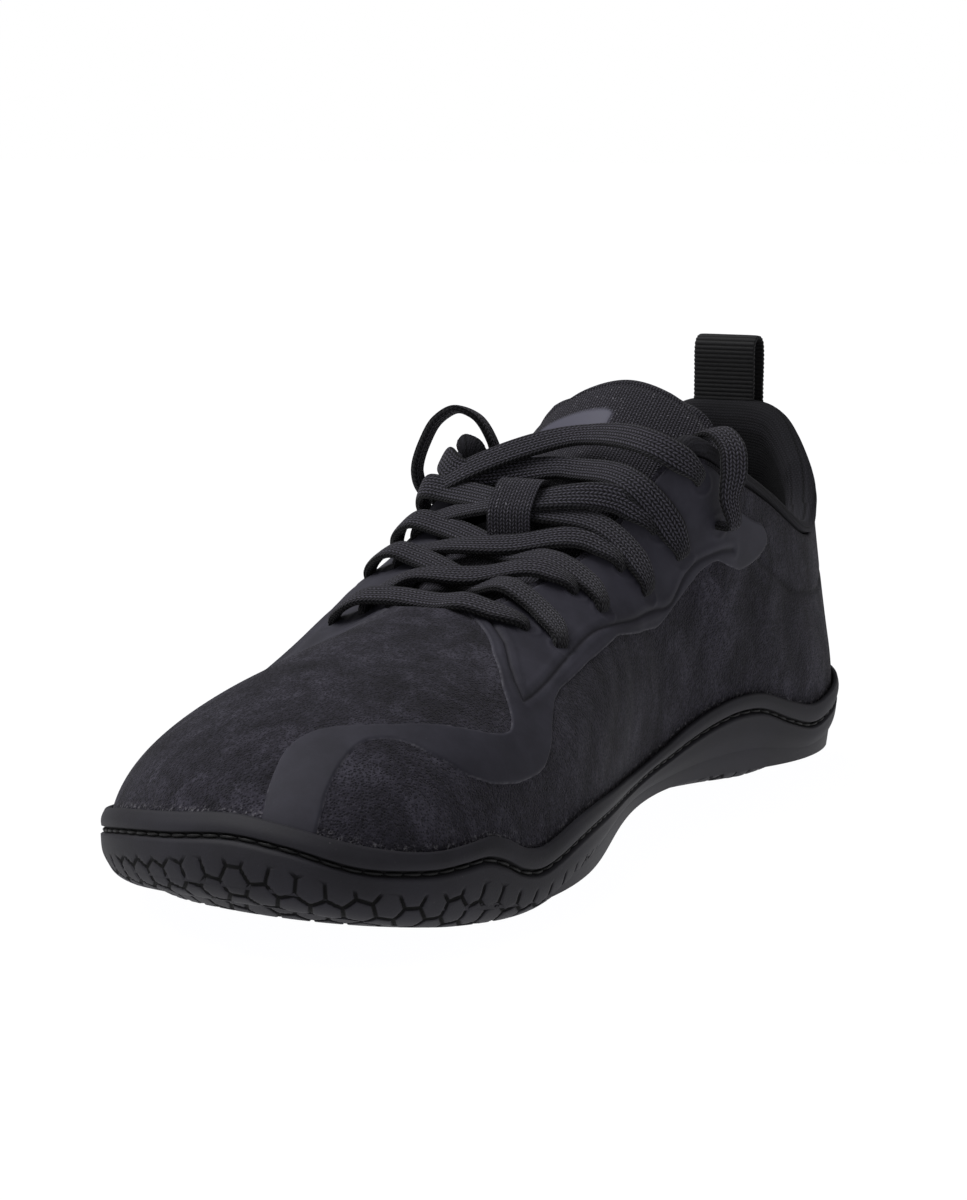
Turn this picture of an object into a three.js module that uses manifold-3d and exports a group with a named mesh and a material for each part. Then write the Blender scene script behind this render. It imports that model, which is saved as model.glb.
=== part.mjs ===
import * as THREE from 'three';
import { mergeVertices } from 'three/addons/utils/BufferGeometryUtils.js';
import Module from 'manifold-3d';

// A low lace-up sneaker for the right foot, in millimetres.
// +X points to the toe, +Y to the big-toe side and +Z up. The floor is at Z = 0.

// Driving dimensions of the last
const shoeLength = 282;
const ballWidth = 105;
const instepHeight = 60.5;
const collarHeight = 90;

// Outsole
const sidewallHeight = 18;
const soleThickness = 5;
const soleLip = 1.8;
const cupGap = 0.45;
const soleTuck = 7.5;
const treadInset = 16;
const toeSpring = 11.5;
const springStart = 0.255;
const archLift = 5.5;
const waistRise = 3.2;
const waistMiddle = -0.09;
const waistReach = 0.27;
const stitchDrop = 5.5;
const stitchWidth = 1.8;
const stitchDepth = 1.1;

// Upper, insole and film overlays
const upperWall = 2;
const insoleThickness = 3.2;
const filmThickness = 0.6;
const clearance = 0.3;

// Collar
const collarShare = 0.26;
const collarPad = 4;
const collarGap = 1.2;
const rimHeight = 7;
const rimWidth = 6.6;
const rimBulge = 1.1;

// Tongue
const tongueThickness = 3.6;
const tongueGap = 1.1;
const keeperWidth = 8;
const keeperThickness = 0.8;

// Laces and eyelets
const laceWidth = 7.5;
const laceThickness = 2;
const bunchedWidth = 4.5;
const eyeletBore = 4.6;

// Pull loop of webbing
const webbingWidth = 18;
const webbingThickness = 1.3;
const loopGap = 4.8;
const loopHeight = 17;
const loopSeat = 15;

// Fineness of the facets
const ribCount = 20;
const columns = 58;
const skinRows = [0, 0.16, 0.32, 0.47, 0.61, 0.74, 0.87, 1];

// Turns a table with named columns into one object for each row.
function table(names, values) {
  return values.map((row) => Object.fromEntries(names.map((name, i) => [name, row[i]])));
}

// The last, one row for each rib: 0 is the toe tip, 5 the big-toe side of the waist, 10 the heel
// and 15 the outer side of the waist. along is a share of the length and across of the ball width:
// they place the rib's foot. rise and drop are shares of the instep height, lean and reach of the
// ball width: they are the handles of the rib's curve at its foot and at the opening.
const ribs = table(['along', 'across', 'rise', 'lean', 'reach', 'drop'], [
  [0.5, 0.115, 0.5, 0, 0.44, 0.165],
  [0.45, 0.37, 0.5, 0, 0.38, 0.165],
  [0.347, 0.467, 0.5, 0.01, 0.305, 0.2],
  [0.227, 0.481, 0.5, 0.01, 0.23, 0.2],
  [0.11, 0.41, 0.53, 0.03, 0.19, 0.165],
  [-0.011, 0.315, 0.56, 0.04, 0.15, 0.13],
  [-0.135, 0.285, 0.6, 0.04, 0.095, 0.265],
  [-0.259, 0.325, 0.5, 0.04, 0.03, 0.4],
  [-0.378, 0.36, 0.46, 0.04, 0.02, 0.4],
  [-0.473, 0.252, 0.43, 0.04, 0.03, 0.43],
  [-0.5, 0.02, 0.46, 0.03, 0.02, 0.46],
  [-0.468, -0.2, 0.43, 0.03, 0.02, 0.43],
  [-0.37, -0.325, 0.46, 0.03, 0.02, 0.4],
  [-0.252, -0.372, 0.53, 0.04, 0.05, 0.365],
  [-0.131, -0.4, 0.66, 0.05, 0.125, 0.13],
  [-0.011, -0.438, 0.66, 0.05, 0.22, 0.035],
  [0.11, -0.486, 0.6, 0.04, 0.23, 0.06],
  [0.227, -0.52, 0.5, 0.04, 0.175, 0.14],
  [0.347, -0.462, 0.5, 0.055, 0.205, 0.25],
  [0.45, -0.25, 0.53, 0.04, 0.315, 0.2],
]);

// The upper edge of the upper, round the throat and the ankle. climb runs from 0 at the instep
// height to 1 at the collar height.
const opening = table(['rib', 'along', 'across', 'climb'], [
  [0, 0.142, -0.029, 0],
  [1, 0.137, 0.024, -0.005],
  [2, 0.121, 0.071, -0.015],
  [3, 0.085, 0.105, 0.035],
  [4, 0.028, 0.124, 0.135],
  [5, -0.035, 0.148, 0.29],
  [5.6, -0.074, 0.181, 0.525],
  [6, -0.094, 0.224, 0.797],
  [6.3, -0.106, 0.271, 1],
  [6.6, -0.131, 0.314, 1],
  [7, -0.177, 0.338, 0.797],
  [7.6, -0.252, 0.348, 0.475],
  [8.2, -0.333, 0.343, 0.035],
  [8.7, -0.379, 0.319, 0.017],
  [9.2, -0.418, 0.268, 0.45],
  [9.6, -0.445, 0.16, 0.82],
  [10, -0.453, 0, 0.87],
  [10.4, -0.445, -0.145, 0.81],
  [10.8, -0.418, -0.245, 0.43],
  [11.3, -0.379, -0.305, -0.017],
  [11.8, -0.333, -0.343, -0.017],
  [12.4, -0.252, -0.362, 0.407],
  [13, -0.177, -0.357, 0.73],
  [13.4, -0.131, -0.338, 0.93],
  [13.7, -0.106, -0.305, 0.93],
  [14, -0.094, -0.286, 0.797],
  [14.4, -0.074, -0.262, 0.54],
  [15, -0.035, -0.229, 0.32],
  [16, 0.028, -0.195, 0.15],
  [17, 0.085, -0.162, 0.017],
  [18, 0.121, -0.124, -0.035],
  [19, 0.137, -0.076, -0.017],
]);

// The wavy top edge of the sidewall, as a share of the sidewall height.
const sidewall = table(['rib', 'height'], [
  [0, 1.06], [0.45, 0.92], [0.75, 0.76], [1.05, 0.73], [1.4, 0.82], [1.7, 0.95], [1.95, 1],
  [2.1, 0.89], [2.32, 0.72], [2.6, 0.68], [2.95, 0.78], [3.6, 0.9], [4.4, 0.85], [5, 0.86],
  [5.55, 0.92], [6.2, 1.25], [6.5, 1.4], [6.85, 1.47], [7.1, 1.46], [7.45, 1.25], [7.75, 1.03],
  [8.15, 1.18], [8.7, 1.36], [9.3, 1.42], [10, 1.25], [10.7, 1.28], [11.3, 1.34], [11.9, 1.15],
  [12.4, 1.08], [13, 1.3], [13.4, 1.32], [14, 1.12], [14.6, 0.9], [15.6, 0.86], [16.4, 0.78],
  [17, 0.7], [17.5, 0.9], [18, 0.96], [18.5, 0.88], [19.2, 0.96],
]);

// How far the sole's lower edge and its tread lie above the floor, as shares of the arch lift,
// and how far the lower edge is tucked in, as a share of the tuck.
const lifts = table(['rib', 'edge', 'tread', 'tuck'], [
  [0, 0, 0, 1.2], [2, 0.1, 0, 1.1], [3.4, 0.25, 0, 1.25], [4, 0.5, 0.05, 1.35], [4.6, 0.85, 0.2, 1.45],
  [5.2, 1.1, 0.4, 1.5], [6, 1.1, 0.5, 1.5], [6.7, 0.88, 0.3, 1.45], [7.4, 0.62, 0, 1.3],
  [8.3, 0.45, 0, 1.15], [9.2, 0.42, 0, 1], [10, 0.42, 0, 1], [11, 0.3, 0, 1], [12, 0.12, 0, 1],
  [13, 0.05, 0, 1], [14, 0.05, 0, 1], [16, 0, 0, 1.1], [18, 0, 0, 1.3],
]);

// The sidewall below its stitched groove, from the belly down: share of the height that is left,
// and of the tuck.
const soleBelly = table(['height', 'tuck'], [
  [0.62, 0.04], [0.3, 0.2], [0.08, 0.54], [0, 1],
]);

// A closed smooth curve through one value at each rib: a cubic spline whose second slope
// is settled by sweeping round the ring until it stands still.
function smoothRing(values) {
  const count = values.length;
  const bend = new Array(count).fill(0);
  const settlingSweeps = 60;
  for (let sweep = 0; sweep < settlingSweeps; sweep += 1) {
    for (let i = 0; i < count; i += 1) {
      const before = (i + count - 1) % count;
      const after = (i + 1) % count;
      const turn = 6 * (values[before] - 2 * values[i] + values[after]);
      bend[i] = (turn - bend[before] - bend[after]) / 4;
    }
  }
  return (s) => {
    const place = ((s % count) + count) % count;
    const i = Math.floor(place) % count;
    const j = (i + 1) % count;
    const u = place - Math.floor(place);
    const v = 1 - u;
    return values[i] * v + values[j] * u + ((v ** 3 - v) * bend[i] + (u ** 3 - u) * bend[j]) / 6;
  };
}

// A smooth curve through rows that lie unevenly, closed after the given period or with two ends.
function smoothRows(rows, key, column, period = 0) {
  const keys = rows.map((row) => row[key]);
  const values = rows.map((row) => row[column]);
  if (period) {
    keys.unshift(keys[keys.length - 1] - period);
    values.unshift(values[values.length - 1]);
    keys.push(keys[1] + period, keys[2] + period);
    values.push(values[1], values[2]);
  }
  const last = keys.length - 1;
  const slopes = values.map((value, i) => {
    if (i === 0) return (values[1] - value) / (keys[1] - keys[0]);
    if (i === last) return (value - values[i - 1]) / (keys[i] - keys[i - 1]);
    const left = keys[i] - keys[i - 1];
    const right = keys[i + 1] - keys[i];
    const fall = (value - values[i - 1]) / left;
    const rise = (values[i + 1] - value) / right;
    return (fall * right + rise * left) / (left + right);
  });
  return (s) => {
    let place = s;
    if (period) place = ((((s - keys[1]) % period) + period) % period) + keys[1];
    place = Math.min(Math.max(place, keys[0]), keys[last]);
    let i = 0;
    while (i < last - 1 && place >= keys[i + 1]) i += 1;
    const span = keys[i + 1] - keys[i];
    const u = (place - keys[i]) / span;
    return values[i] * (2 * u ** 3 - 3 * u ** 2 + 1) + slopes[i] * span * (u ** 3 - 2 * u ** 2 + u)
      + values[i + 1] * (3 * u ** 2 - 2 * u ** 3) + slopes[i + 1] * span * (u ** 3 - u ** 2);
  };
}

const ringOf = (column) => smoothRing(ribs.map((row) => row[column]));
const along = ringOf('along');
const across = ringOf('across');
const rise = ringOf('rise');
const lean = ringOf('lean');
const reach = ringOf('reach');
const drop = ringOf('drop');
const edgeAlong = smoothRows(opening, 'rib', 'along', ribCount);
const edgeAcross = smoothRows(opening, 'rib', 'across', ribCount);
const edgeClimb = smoothRows(opening, 'rib', 'climb', ribCount);
const sidewallTop = smoothRows(sidewall, 'rib', 'height', ribCount);
const edgeLift = smoothRows(lifts, 'rib', 'edge', ribCount);
const treadLift = smoothRows(lifts, 'rib', 'tread', ribCount);
const edgeTuck = smoothRows(lifts, 'rib', 'tuck', ribCount);

// The sole's outline at a rib, and the level direction that points out of it there.
function outline(s) {
  return new THREE.Vector3(along(s) * shoeLength, across(s) * ballWidth, 0);
}

function outward(s) {
  const nudge = 0.01;
  const way = outline(s + nudge).sub(outline(s - nudge));
  return new THREE.Vector3(way.y, -way.x, 0).normalize();
}

// Height of the sole's underside over the floor, from the toe spring alone.
function spring(x) {
  const start = springStart * shoeLength;
  const run = shoeLength / 2 - start;
  const steepness = 1.6;
  return toeSpring * Math.max(0, (x - start) / run) ** steepness;
}

// Height of the cup's floor, which the upper and the insole stand on: it follows the toe spring
// and arches a little at the waist.
function bed(x) {
  const away = Math.min(1, Math.abs(x / shoeLength - waistMiddle) / waistReach);
  return spring(x) + soleThickness + waistRise * Math.cos((away * Math.PI) / 2) ** 2;
}

// One rib of the last: a curve up the outside of the upper, from the sole to the opening.
function rib(s) {
  const out = outward(s);
  const foot = outline(s).addScaledVector(out, -soleLip);
  foot.z = bed(outline(s).x) + clearance;
  const belly = foot.clone().addScaledVector(out, lean(s) * ballWidth);
  belly.z += rise(s) * instepHeight;
  const height = instepHeight + edgeClimb(s) * (collarHeight - instepHeight);
  const edge = new THREE.Vector3(edgeAlong(s) * shoeLength, edgeAcross(s) * ballWidth, height);
  const shoulder = edge.clone().addScaledVector(out, reach(s) * ballWidth);
  shoulder.z -= drop(s) * instepHeight;
  return new THREE.CubicBezierCurve3(foot, belly, shoulder, edge);
}

// The direction straight out of the upper's outer face.
function skinOut(s, t) {
  const nudge = 0.01;
  const way = rib(s + nudge).getPoint(t).sub(rib(s - nudge).getPoint(t));
  return way.cross(rib(s).getTangent(t)).normalize();
}

// A point of the upper's outer face, moved out by an offset.
function skin(s, t, offset = 0) {
  return rib(s).getPoint(t).addScaledVector(skinOut(s, t), offset);
}

// How far up its rib the upper's outer face reaches a height, found by halving.
function riseTo(s, height) {
  const curve = rib(s);
  const halvings = 18;
  let low = 0;
  let high = 0.6;
  for (let i = 0; i < halvings; i += 1) {
    const middle = (low + high) / 2;
    if (curve.getPoint(middle).z < height) low = middle;
    else high = middle;
  }
  return (low + high) / 2;
}

// A geometry from points and faces, turned so that its faces point out.
function shell(points, faces) {
  let volume = 0;
  for (let i = 0; i < faces.length; i += 3) {
    const [a, b, c] = [points[faces[i]], points[faces[i + 1]], points[faces[i + 2]]];
    volume += a.dot(b.clone().cross(c));
  }
  const turned = volume < 0 ? faces.slice().reverse() : faces;
  const geometry = new THREE.BufferGeometry();
  geometry.setAttribute('position', new THREE.Float32BufferAttribute(points.flatMap((p) => p.toArray()), 3));
  geometry.setIndex(turned);
  geometry.computeVertexNormals();
  return geometry;
}

// Joins outlines with as many points each into one closed skin. A row of outlines with two ends
// is capped by strips that run between the paired points of its first and last outline.
function loft(outlines, closed = false) {
  const count = outlines[0].length;
  const faces = [];
  const at = (i, j) => (i % outlines.length) * count + (j % count);
  const quad = (a, b, c, d) => faces.push(a, b, c, a, c, d);
  const steps = closed ? outlines.length : outlines.length - 1;
  for (let i = 0; i < steps; i += 1) {
    for (let j = 0; j < count; j += 1) quad(at(i, j), at(i + 1, j), at(i + 1, j + 1), at(i, j + 1));
  }
  if (!closed) {
    const end = outlines.length - 1;
    for (let j = 0; j < count / 2 - 1; j += 1) {
      quad(at(0, j), at(0, j + 1), at(0, count - 2 - j), at(0, count - 1 - j));
      quad(at(end, j + 1), at(end, j), at(end, count - 1 - j), at(end, count - 2 - j));
    }
  }
  return shell(outlines.flat(), faces);
}

// One point for each column round the last. Columns pair across the last, first with last.
function ring(pointAt) {
  return Array.from({ length: columns }, (_, i) => pointAt(((i + 0.5) * ribCount) / columns));
}

// Cuts and joins of closed geometries.
const wasm = await Module();
wasm.setup();

function solid(geometry) {
  const bare = geometry.clone();
  bare.deleteAttribute('normal');
  bare.deleteAttribute('uv');
  const merged = mergeVertices(bare, 1e-5);
  return new wasm.Manifold(new wasm.Mesh({
    numProp: 3,
    vertProperties: new Float32Array(merged.getAttribute('position').array),
    triVerts: new Uint32Array(merged.getIndex().array),
  }));
}

function geometryOf(manifold) {
  const mesh = manifold.getMesh();
  const geometry = new THREE.BufferGeometry();
  geometry.setAttribute('position', new THREE.Float32BufferAttribute(mesh.vertProperties, 3));
  geometry.setIndex(Array.from(mesh.triVerts));
  geometry.computeVertexNormals();
  return geometry;
}

// Outsole: a cup with a floor, a wavy sidewall, a stitched groove, an arch and a toe spring.
function outsole() {
  const base = (s) => spring(outline(s).x) + Math.max(0, edgeLift(s)) * archLift;
  const floor = (s) => bed(outline(s).x);
  const top = (s) => spring(outline(s).x) + sidewallTop(s) * sidewallHeight;
  const beside = (s, height, offset) => {
    const reachUp = riseTo(s, Math.max(height, floor(s) + clearance));
    const point = rib(s).getPoint(reachUp).addScaledVector(outward(s), offset);
    point.z = height;
    return point;
  };
  const edgeRound = 0.7;
  const bandBulge = 0.3;
  const grooveTop = stitchDrop - stitchWidth / 2;
  const grooveFoot = stitchDrop + stitchWidth / 2;
  const grooveSlope = 0.35;
  const rings = [ring((s) => beside(s, floor(s), cupGap))];
  rings.push(ring((s) => beside(s, (floor(s) + top(s)) / 2, cupGap)));
  rings.push(ring((s) => beside(s, top(s) - edgeRound, cupGap)));
  rings.push(ring((s) => beside(s, top(s), clearance + edgeRound)));
  rings.push(ring((s) => beside(s, top(s) - edgeRound, soleLip)));
  rings.push(ring((s) => beside(s, top(s) - grooveTop / 2, soleLip + bandBulge)));
  rings.push(ring((s) => beside(s, top(s) - grooveTop, soleLip)));
  rings.push(ring((s) => beside(s, top(s) - grooveTop - grooveSlope, soleLip - stitchDepth)));
  rings.push(ring((s) => beside(s, top(s) - grooveFoot + grooveSlope, soleLip - stitchDepth)));
  rings.push(ring((s) => beside(s, top(s) - grooveFoot, soleLip)));
  for (const { height, tuck } of soleBelly) {
    rings.push(ring((s) => {
      const left = top(s) - grooveFoot - base(s);
      return beside(s, base(s) + left * height, soleLip - tuck * edgeTuck(s) * soleTuck);
    }));
  }
  rings.push(ring((s) => {
    const point = outline(s).addScaledVector(outward(s), -treadInset);
    point.z = spring(point.x) + Math.max(0, treadLift(s)) * archLift;
    return point;
  }));
  return loft(rings);
}

// Insole: a flat bed inside the upper, on the cup's floor.
function insole() {
  const layer = (s, height, inset) => {
    const point = outline(s).addScaledVector(outward(s), -soleLip - upperWall - clearance - inset);
    point.z = bed(outline(s).x) + clearance + height;
    return point;
  };
  const edge = 0.9;
  const inset = 1;
  return loft([
    ring((s) => layer(s, 0, inset + edge)),
    ring((s) => layer(s, edge, inset)),
    ring((s) => layer(s, insoleThickness - edge, inset)),
    ring((s) => layer(s, insoleThickness, inset + edge)),
  ]);
}

// A wall between two offsets of the last, from the sole to the opening, with a rounded edge.
function wallForm(inner, outer) {
  return loft(ring((s) => {
    const crest = skin(s, 1, (inner + outer) / 2);
    crest.addScaledVector(rib(s).getTangent(1), (outer - inner) * 0.3);
    return [
      ...skinRows.map((t) => skin(s, t, outer)),
      crest,
      ...skinRows.toReversed().map((t) => skin(s, t, inner)),
    ];
  }), true);
}

// Eyelets, two rows down each side of the throat. Each pair shares its ribs on both sides.
const eyelets = table(['pair', 'inRib', 'inRise', 'outRib', 'outRise'], [
  [1, 2.72, 0.86, 3.1, 0.73],
  [2, 4.14, 0.87, 4.34, 0.73],
  [3, 5.17, 0.81, 5.37, 0.64],
  [4, 5.89, 0.82, 6.11, 0.66],
  [5, 6.54, 0.91, 6.66, 0.77],
]);

// Place of an eyelet on the last: side 1 is the big-toe side and -1 the outer side.
function eyeletAt(pair, row, side) {
  const entry = eyelets[pair - 1];
  const place = row === 'in' ? entry.inRib : entry.outRib;
  const t = row === 'in' ? entry.inRise : entry.outRise;
  const s = side > 0 ? place : ribCount - place;
  return { s, t };
}

function eyeletBores() {
  const depth = 14;
  const sides = 6;
  const bores = [];
  for (const side of [1, -1]) {
    for (const { pair } of eyelets) {
      for (const row of ['in', 'out']) {
        const { s, t } = eyeletAt(pair, row, side);
        const bore = new THREE.CylinderGeometry(eyeletBore / 2, eyeletBore / 2, depth, sides);
        const turn = new THREE.Quaternion().setFromUnitVectors(new THREE.Vector3(0, 1, 0), skinOut(s, t));
        bore.applyQuaternion(turn);
        bore.translate(...skin(s, t));
        bores.push(solid(bore));
      }
    }
  }
  return bores;
}

const bores = eyeletBores();

function pierced(manifold) {
  return geometryOf(bores.reduce((left, bore) => left.subtract(bore), manifold));
}

// A bent plate: a grid of points, thickened to its underside.
function plate(grid, thickness) {
  const rowsEnd = grid.length - 1;
  const under = grid.map((row, i) => row.map((point, j) => {
    const back = grid[Math.max(i - 1, 0)][j];
    const ahead = grid[Math.min(i + 1, rowsEnd)][j];
    const left = row[Math.max(j - 1, 0)];
    const right = row[Math.min(j + 1, row.length - 1)];
    const normal = ahead.clone().sub(back).cross(right.clone().sub(left)).normalize();
    if (normal.z < 0) normal.negate();
    return point.clone().addScaledVector(normal, -thickness);
  }));
  return loft(grid.map((row, i) => [...row, ...under[i].toReversed()]));
}

const filmFace = clearance + filmThickness;

// Film overlay: the thickness between two larger forms of the last, cut out by a thick patch
// whose outline is given in ribs and in shares of the way up them.
function film(rows, side) {
  const patchStep = 0.25;
  const under = -1.2;
  const over = 3.5;
  const stations = [];
  for (let i = 0; i < rows.length - 1; i += 1) {
    const span = rows[i + 1].rib - rows[i].rib;
    const parts = Math.max(1, Math.round(span / patchStep));
    for (let j = 0; j < parts; j += 1) {
      const u = j / parts;
      stations.push({
        rib: rows[i].rib + span * u,
        low: rows[i].low * (1 - u) + rows[i + 1].low * u,
        high: rows[i].high * (1 - u) + rows[i + 1].high * u,
      });
    }
  }
  stations.push(rows[rows.length - 1]);
  const patch = loft(stations.map(({ rib: place, low, high }) => {
    const s = side > 0 ? place : ribCount - place;
    const lipTop = spring(outline(s).x) + sidewallTop(s) * sidewallHeight;
    const start = Math.max(low, riseTo(s, lipTop + 2 * clearance));
    const shares = [0, 0.25, 0.5, 0.75, 1].map((share) => start + (high - start) * share);
    return [
      ...shares.map((t) => skin(s, t, over)),
      ...shares.toReversed().map((t) => skin(s, t, under)),
    ];
  }));
  const core = solid(wallForm(-upperWall, clearance));
  const cover = solid(wallForm(-upperWall / 2, filmFace));
  return pierced(cover.intersect(solid(patch)).subtract(core));
}

// Outline of the film on the big-toe side: a drop to the sole at the toe, a wavy band and an
// eyestay that ends in a point behind the top eyelets.
const filmInner = table(['rib', 'low', 'high'], [
  [0.09, 0.06, 0.44], [0.2, 0.06, 0.495], [0.43, 0.06, 0.51], [0.47, 0.4, 0.51],
  [0.65, 0.47, 0.505], [0.9, 0.45, 0.49], [1.25, 0.38, 0.48], [1.5, 0.355, 0.48],
  [1.6, 0.35, 0.6], [1.68, 0.345, 0.985], [2.02, 0.33, 0.985], [2.34, 0.34, 0.985],
  [2.55, 0.4, 0.985], [2.68, 0.5, 0.985], [2.85, 0.58, 0.985], [3.57, 0.59, 0.985],
  [4.29, 0.57, 0.985], [4.89, 0.53, 0.985], [5.4, 0.56, 0.985], [5.9, 0.58, 0.985],
  [6.42, 0.6, 0.985], [6.71, 0.65, 0.985], [6.99, 0.66, 0.985], [7.29, 0.73, 0.985],
  [7.55, 0.88, 0.985],
]);

// Outline of the film on the outer side: the eyestay alone, with a tail at the ball.
const filmOuter = table(['rib', 'low', 'high'], [
  [1.75, 0.7, 0.985], [2.1, 0.52, 0.985], [2.6, 0.46, 0.985], [3.2, 0.5, 0.985],
  [4, 0.55, 0.985], [4.89, 0.53, 0.985], [5.9, 0.57, 0.985], [6.42, 0.6, 0.985],
  [6.71, 0.65, 0.985], [6.99, 0.66, 0.985], [7.29, 0.73, 0.985], [7.55, 0.88, 0.985],
]);

// Rise of the collar's rim over the edge of the upper, as a share of the rim height.
const rims = table(['rib', 'rise'], [
  [6.3, 0.85], [6.6, 1], [7, 1], [8, 0.9], [8.6, 1], [9.3, 1.45], [10, 1.7],
  [10.7, 1.45], [11.4, 1], [12, 0.9], [13, 1], [13.4, 1], [13.7, 0.85],
]);
const rimRise = smoothRows(rims, 'rib', 'rise');

// Collar: a padded lining inside the ankle that rolls out over the upper's edge.
function collar() {
  const gap = upperWall + collarGap;
  const face = gap + collarPad;
  const seat = upperWall * 0.3 + 2 * clearance;
  const firstColumn = Math.ceil((rims[0].rib * columns) / ribCount - 0.5);
  const tuckedEdge = 1.2;
  const sections = [];
  for (let i = firstColumn; i < columns - firstColumn; i += 1) {
    const s = ((i + 0.5) * ribCount) / columns;
    const curve = rib(s);
    const out = skinOut(s, 1);
    const up = curve.getTangent(1);
    const high = rimHeight * rimRise(s);
    const low = 1 - collarShare;
    const middle = 1 - collarShare / 2;
    const over = (share, offset) => curve.getPoint(1)
      .addScaledVector(up, seat + (high - seat) * share).addScaledVector(out, offset);
    sections.push([
      skin(s, low, -gap - tuckedEdge),
      skin(s, middle, -face),
      skin(s, 1, -face),
      over(0.8, rimWidth * -0.85),
      over(1, rimWidth * -0.35),
      over(0.8, 0.3),
      over(0.35, rimBulge),
      over(0, 0.3),
      over(0, -gap),
      skin(s, 1, -gap),
      skin(s, middle, -gap),
      skin(s, low, -gap),
    ]);
  }
  return loft(sections);
}

// Tongue rows that lie under the throat: rib, how far up it the hidden edge lies, and the
// crown's rise over the edges of the throat, as a share of the instep height.
const tongueUnder = table(['rib', 'hidden', 'crown'], [
  [2.4, 0.82, 0.006], [3.1, 0.79, 0.016], [4, 0.8, 0.03], [4.8, 0.84, 0.075], [5.3, 0.88, 0.09],
]);

// Tongue rows above the throat: the middle as shares of the length and the collar height, the
// half width as a share of the ball width, and how far the edges lie back and down.
const tongueOver = table(['along', 'height', 'half', 'back', 'down'], [
  [-0.095, 0.895, 0.16, 0.02, 0.13], [-0.132, 0.95, 0.2, 0.025, 0.12],
  [-0.172, 1.025, 0.25, 0.03, 0.125], [-0.205, 1.1, 0.272, 0.015, 0.14],
  [-0.226, 1.15, 0.262, 0.002, 0.15], [-0.236, 1.178, 0.2, -0.006, 0.1],
]);

const tongueMiddle = -0.015;
const tongueAcross = 8;

function tongueGrid() {
  const hide = -(upperWall + tongueGap);
  const front = [1.9, 1, 0.2, 19.4, 18.6, 17.8].map((s) => skin(s, 0.88, hide));
  const rows = [front];
  for (const { rib: place, hidden, crown } of tongueUnder) {
    const nearEdge = 0.985;
    const inner = skin(place, nearEdge, hide);
    const outer = skin(ribCount - place, nearEdge, hide);
    const top = inner.clone().lerp(outer, 0.5);
    top.z += crown * instepHeight;
    rows.push([skin(place, hidden, hide), inner, top, outer, skin(ribCount - place, hidden, hide)]);
  }
  for (const { along: x, height, half, back, down } of tongueOver) {
    const level = instepHeight + (height - 1) * collarHeight + (collarHeight - instepHeight);
    const row = [1, 0.6, 0, -0.6, -1].map((share) => new THREE.Vector3(
      x * shoeLength - back * shoeLength * share ** 2,
      (tongueMiddle + half * share) * ballWidth,
      level - down * collarHeight * Math.abs(share) ** 2,
    ));
    rows.push(row);
  }
  return rows.map((row) => new THREE.CatmullRomCurve3(row).getPoints(tongueAcross));
}

// Height of the tongue's outer face along its middle line, at a place on the length.
function tongueTop(x) {
  const line = tongueGrid().map((row) => row[tongueAcross / 2]);
  const i = Math.max(1, line.findIndex((point) => point.x <= x));
  const share = (x - line[i].x) / (line[i - 1].x - line[i].x);
  return line[i].z + (line[i - 1].z - line[i].z) * share;
}

// A woven band of flat oval section along a smooth route. wides holds the directions of its width
// at its start, middle and end.
function band(route, wides, steps, sides, width = laceWidth, thickness = laceThickness) {
  const curve = new THREE.CatmullRomCurve3(route);
  const [first, middleWide, last] = wides;
  return loft(Array.from({ length: steps + 1 }, (_, i) => {
    const share = i / steps;
    const way = curve.getTangent(share);
    const away = Math.abs(2 * share - 1) ** 2;
    const wide = middleWide.clone().lerp(share < 0.5 ? first : last, away);
    const flat = wide.addScaledVector(way, -wide.dot(way)).normalize();
    const over = way.clone().cross(flat);
    const middle = curve.getPoint(share);
    return Array.from({ length: sides }, (_unused, j) => {
      const angle = ((j + 0.5) * 2 * Math.PI) / sides;
      return middle.clone()
        .addScaledVector(flat, (Math.cos(angle) * width) / 2)
        .addScaledVector(over, (Math.sin(angle) * thickness) / 2);
    });
  }));
}

// The bars that cross the throat: each runs from an eyelet on the big-toe side to one on the
// outer side. edge and farEdge are the ribs where it passes over the edge of the throat, as
// counted on the big-toe side. along and height place its middle, as shares of the length and of
// the instep height, and tilt is how far its flat face leans to the toe there, in degrees.
const barNames = ['pair', 'row', 'edge', 'farPair', 'farRow', 'farEdge', 'along', 'height', 'tilt'];
const bars = table(barNames, [
  [1, 'in', 2.55, 1, 'in', 2.55, 0.117, 1.005, 20],
  [1, 'out', 3.2, 2, 'in', 4.05, 0.053, 1.04, 22],
  [2, 'in', 4.05, 1, 'out', 3.2, 0.053, 1.068, 22],
  [2, 'out', 4.4, 3, 'in', 5.1, -0.007, 1.132, 28],
  [3, 'in', 5.1, 2, 'out', 4.4, -0.007, 1.16, 28],
  [3, 'out', 5.35, 4, 'in', 5.75, -0.043, 1.292, 33],
  [4, 'in', 5.75, 3, 'out', 5.35, -0.043, 1.322, 33],
  [4, 'out', 5.92, 5, 'in', 6.12, -0.117, 1.425, 36],
  [5, 'in', 6.15, 4, 'out', 5.92, -0.137, 1.545, 36],
]);

const laceSeat = filmFace + 2 * clearance + laceThickness / 2;

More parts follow.
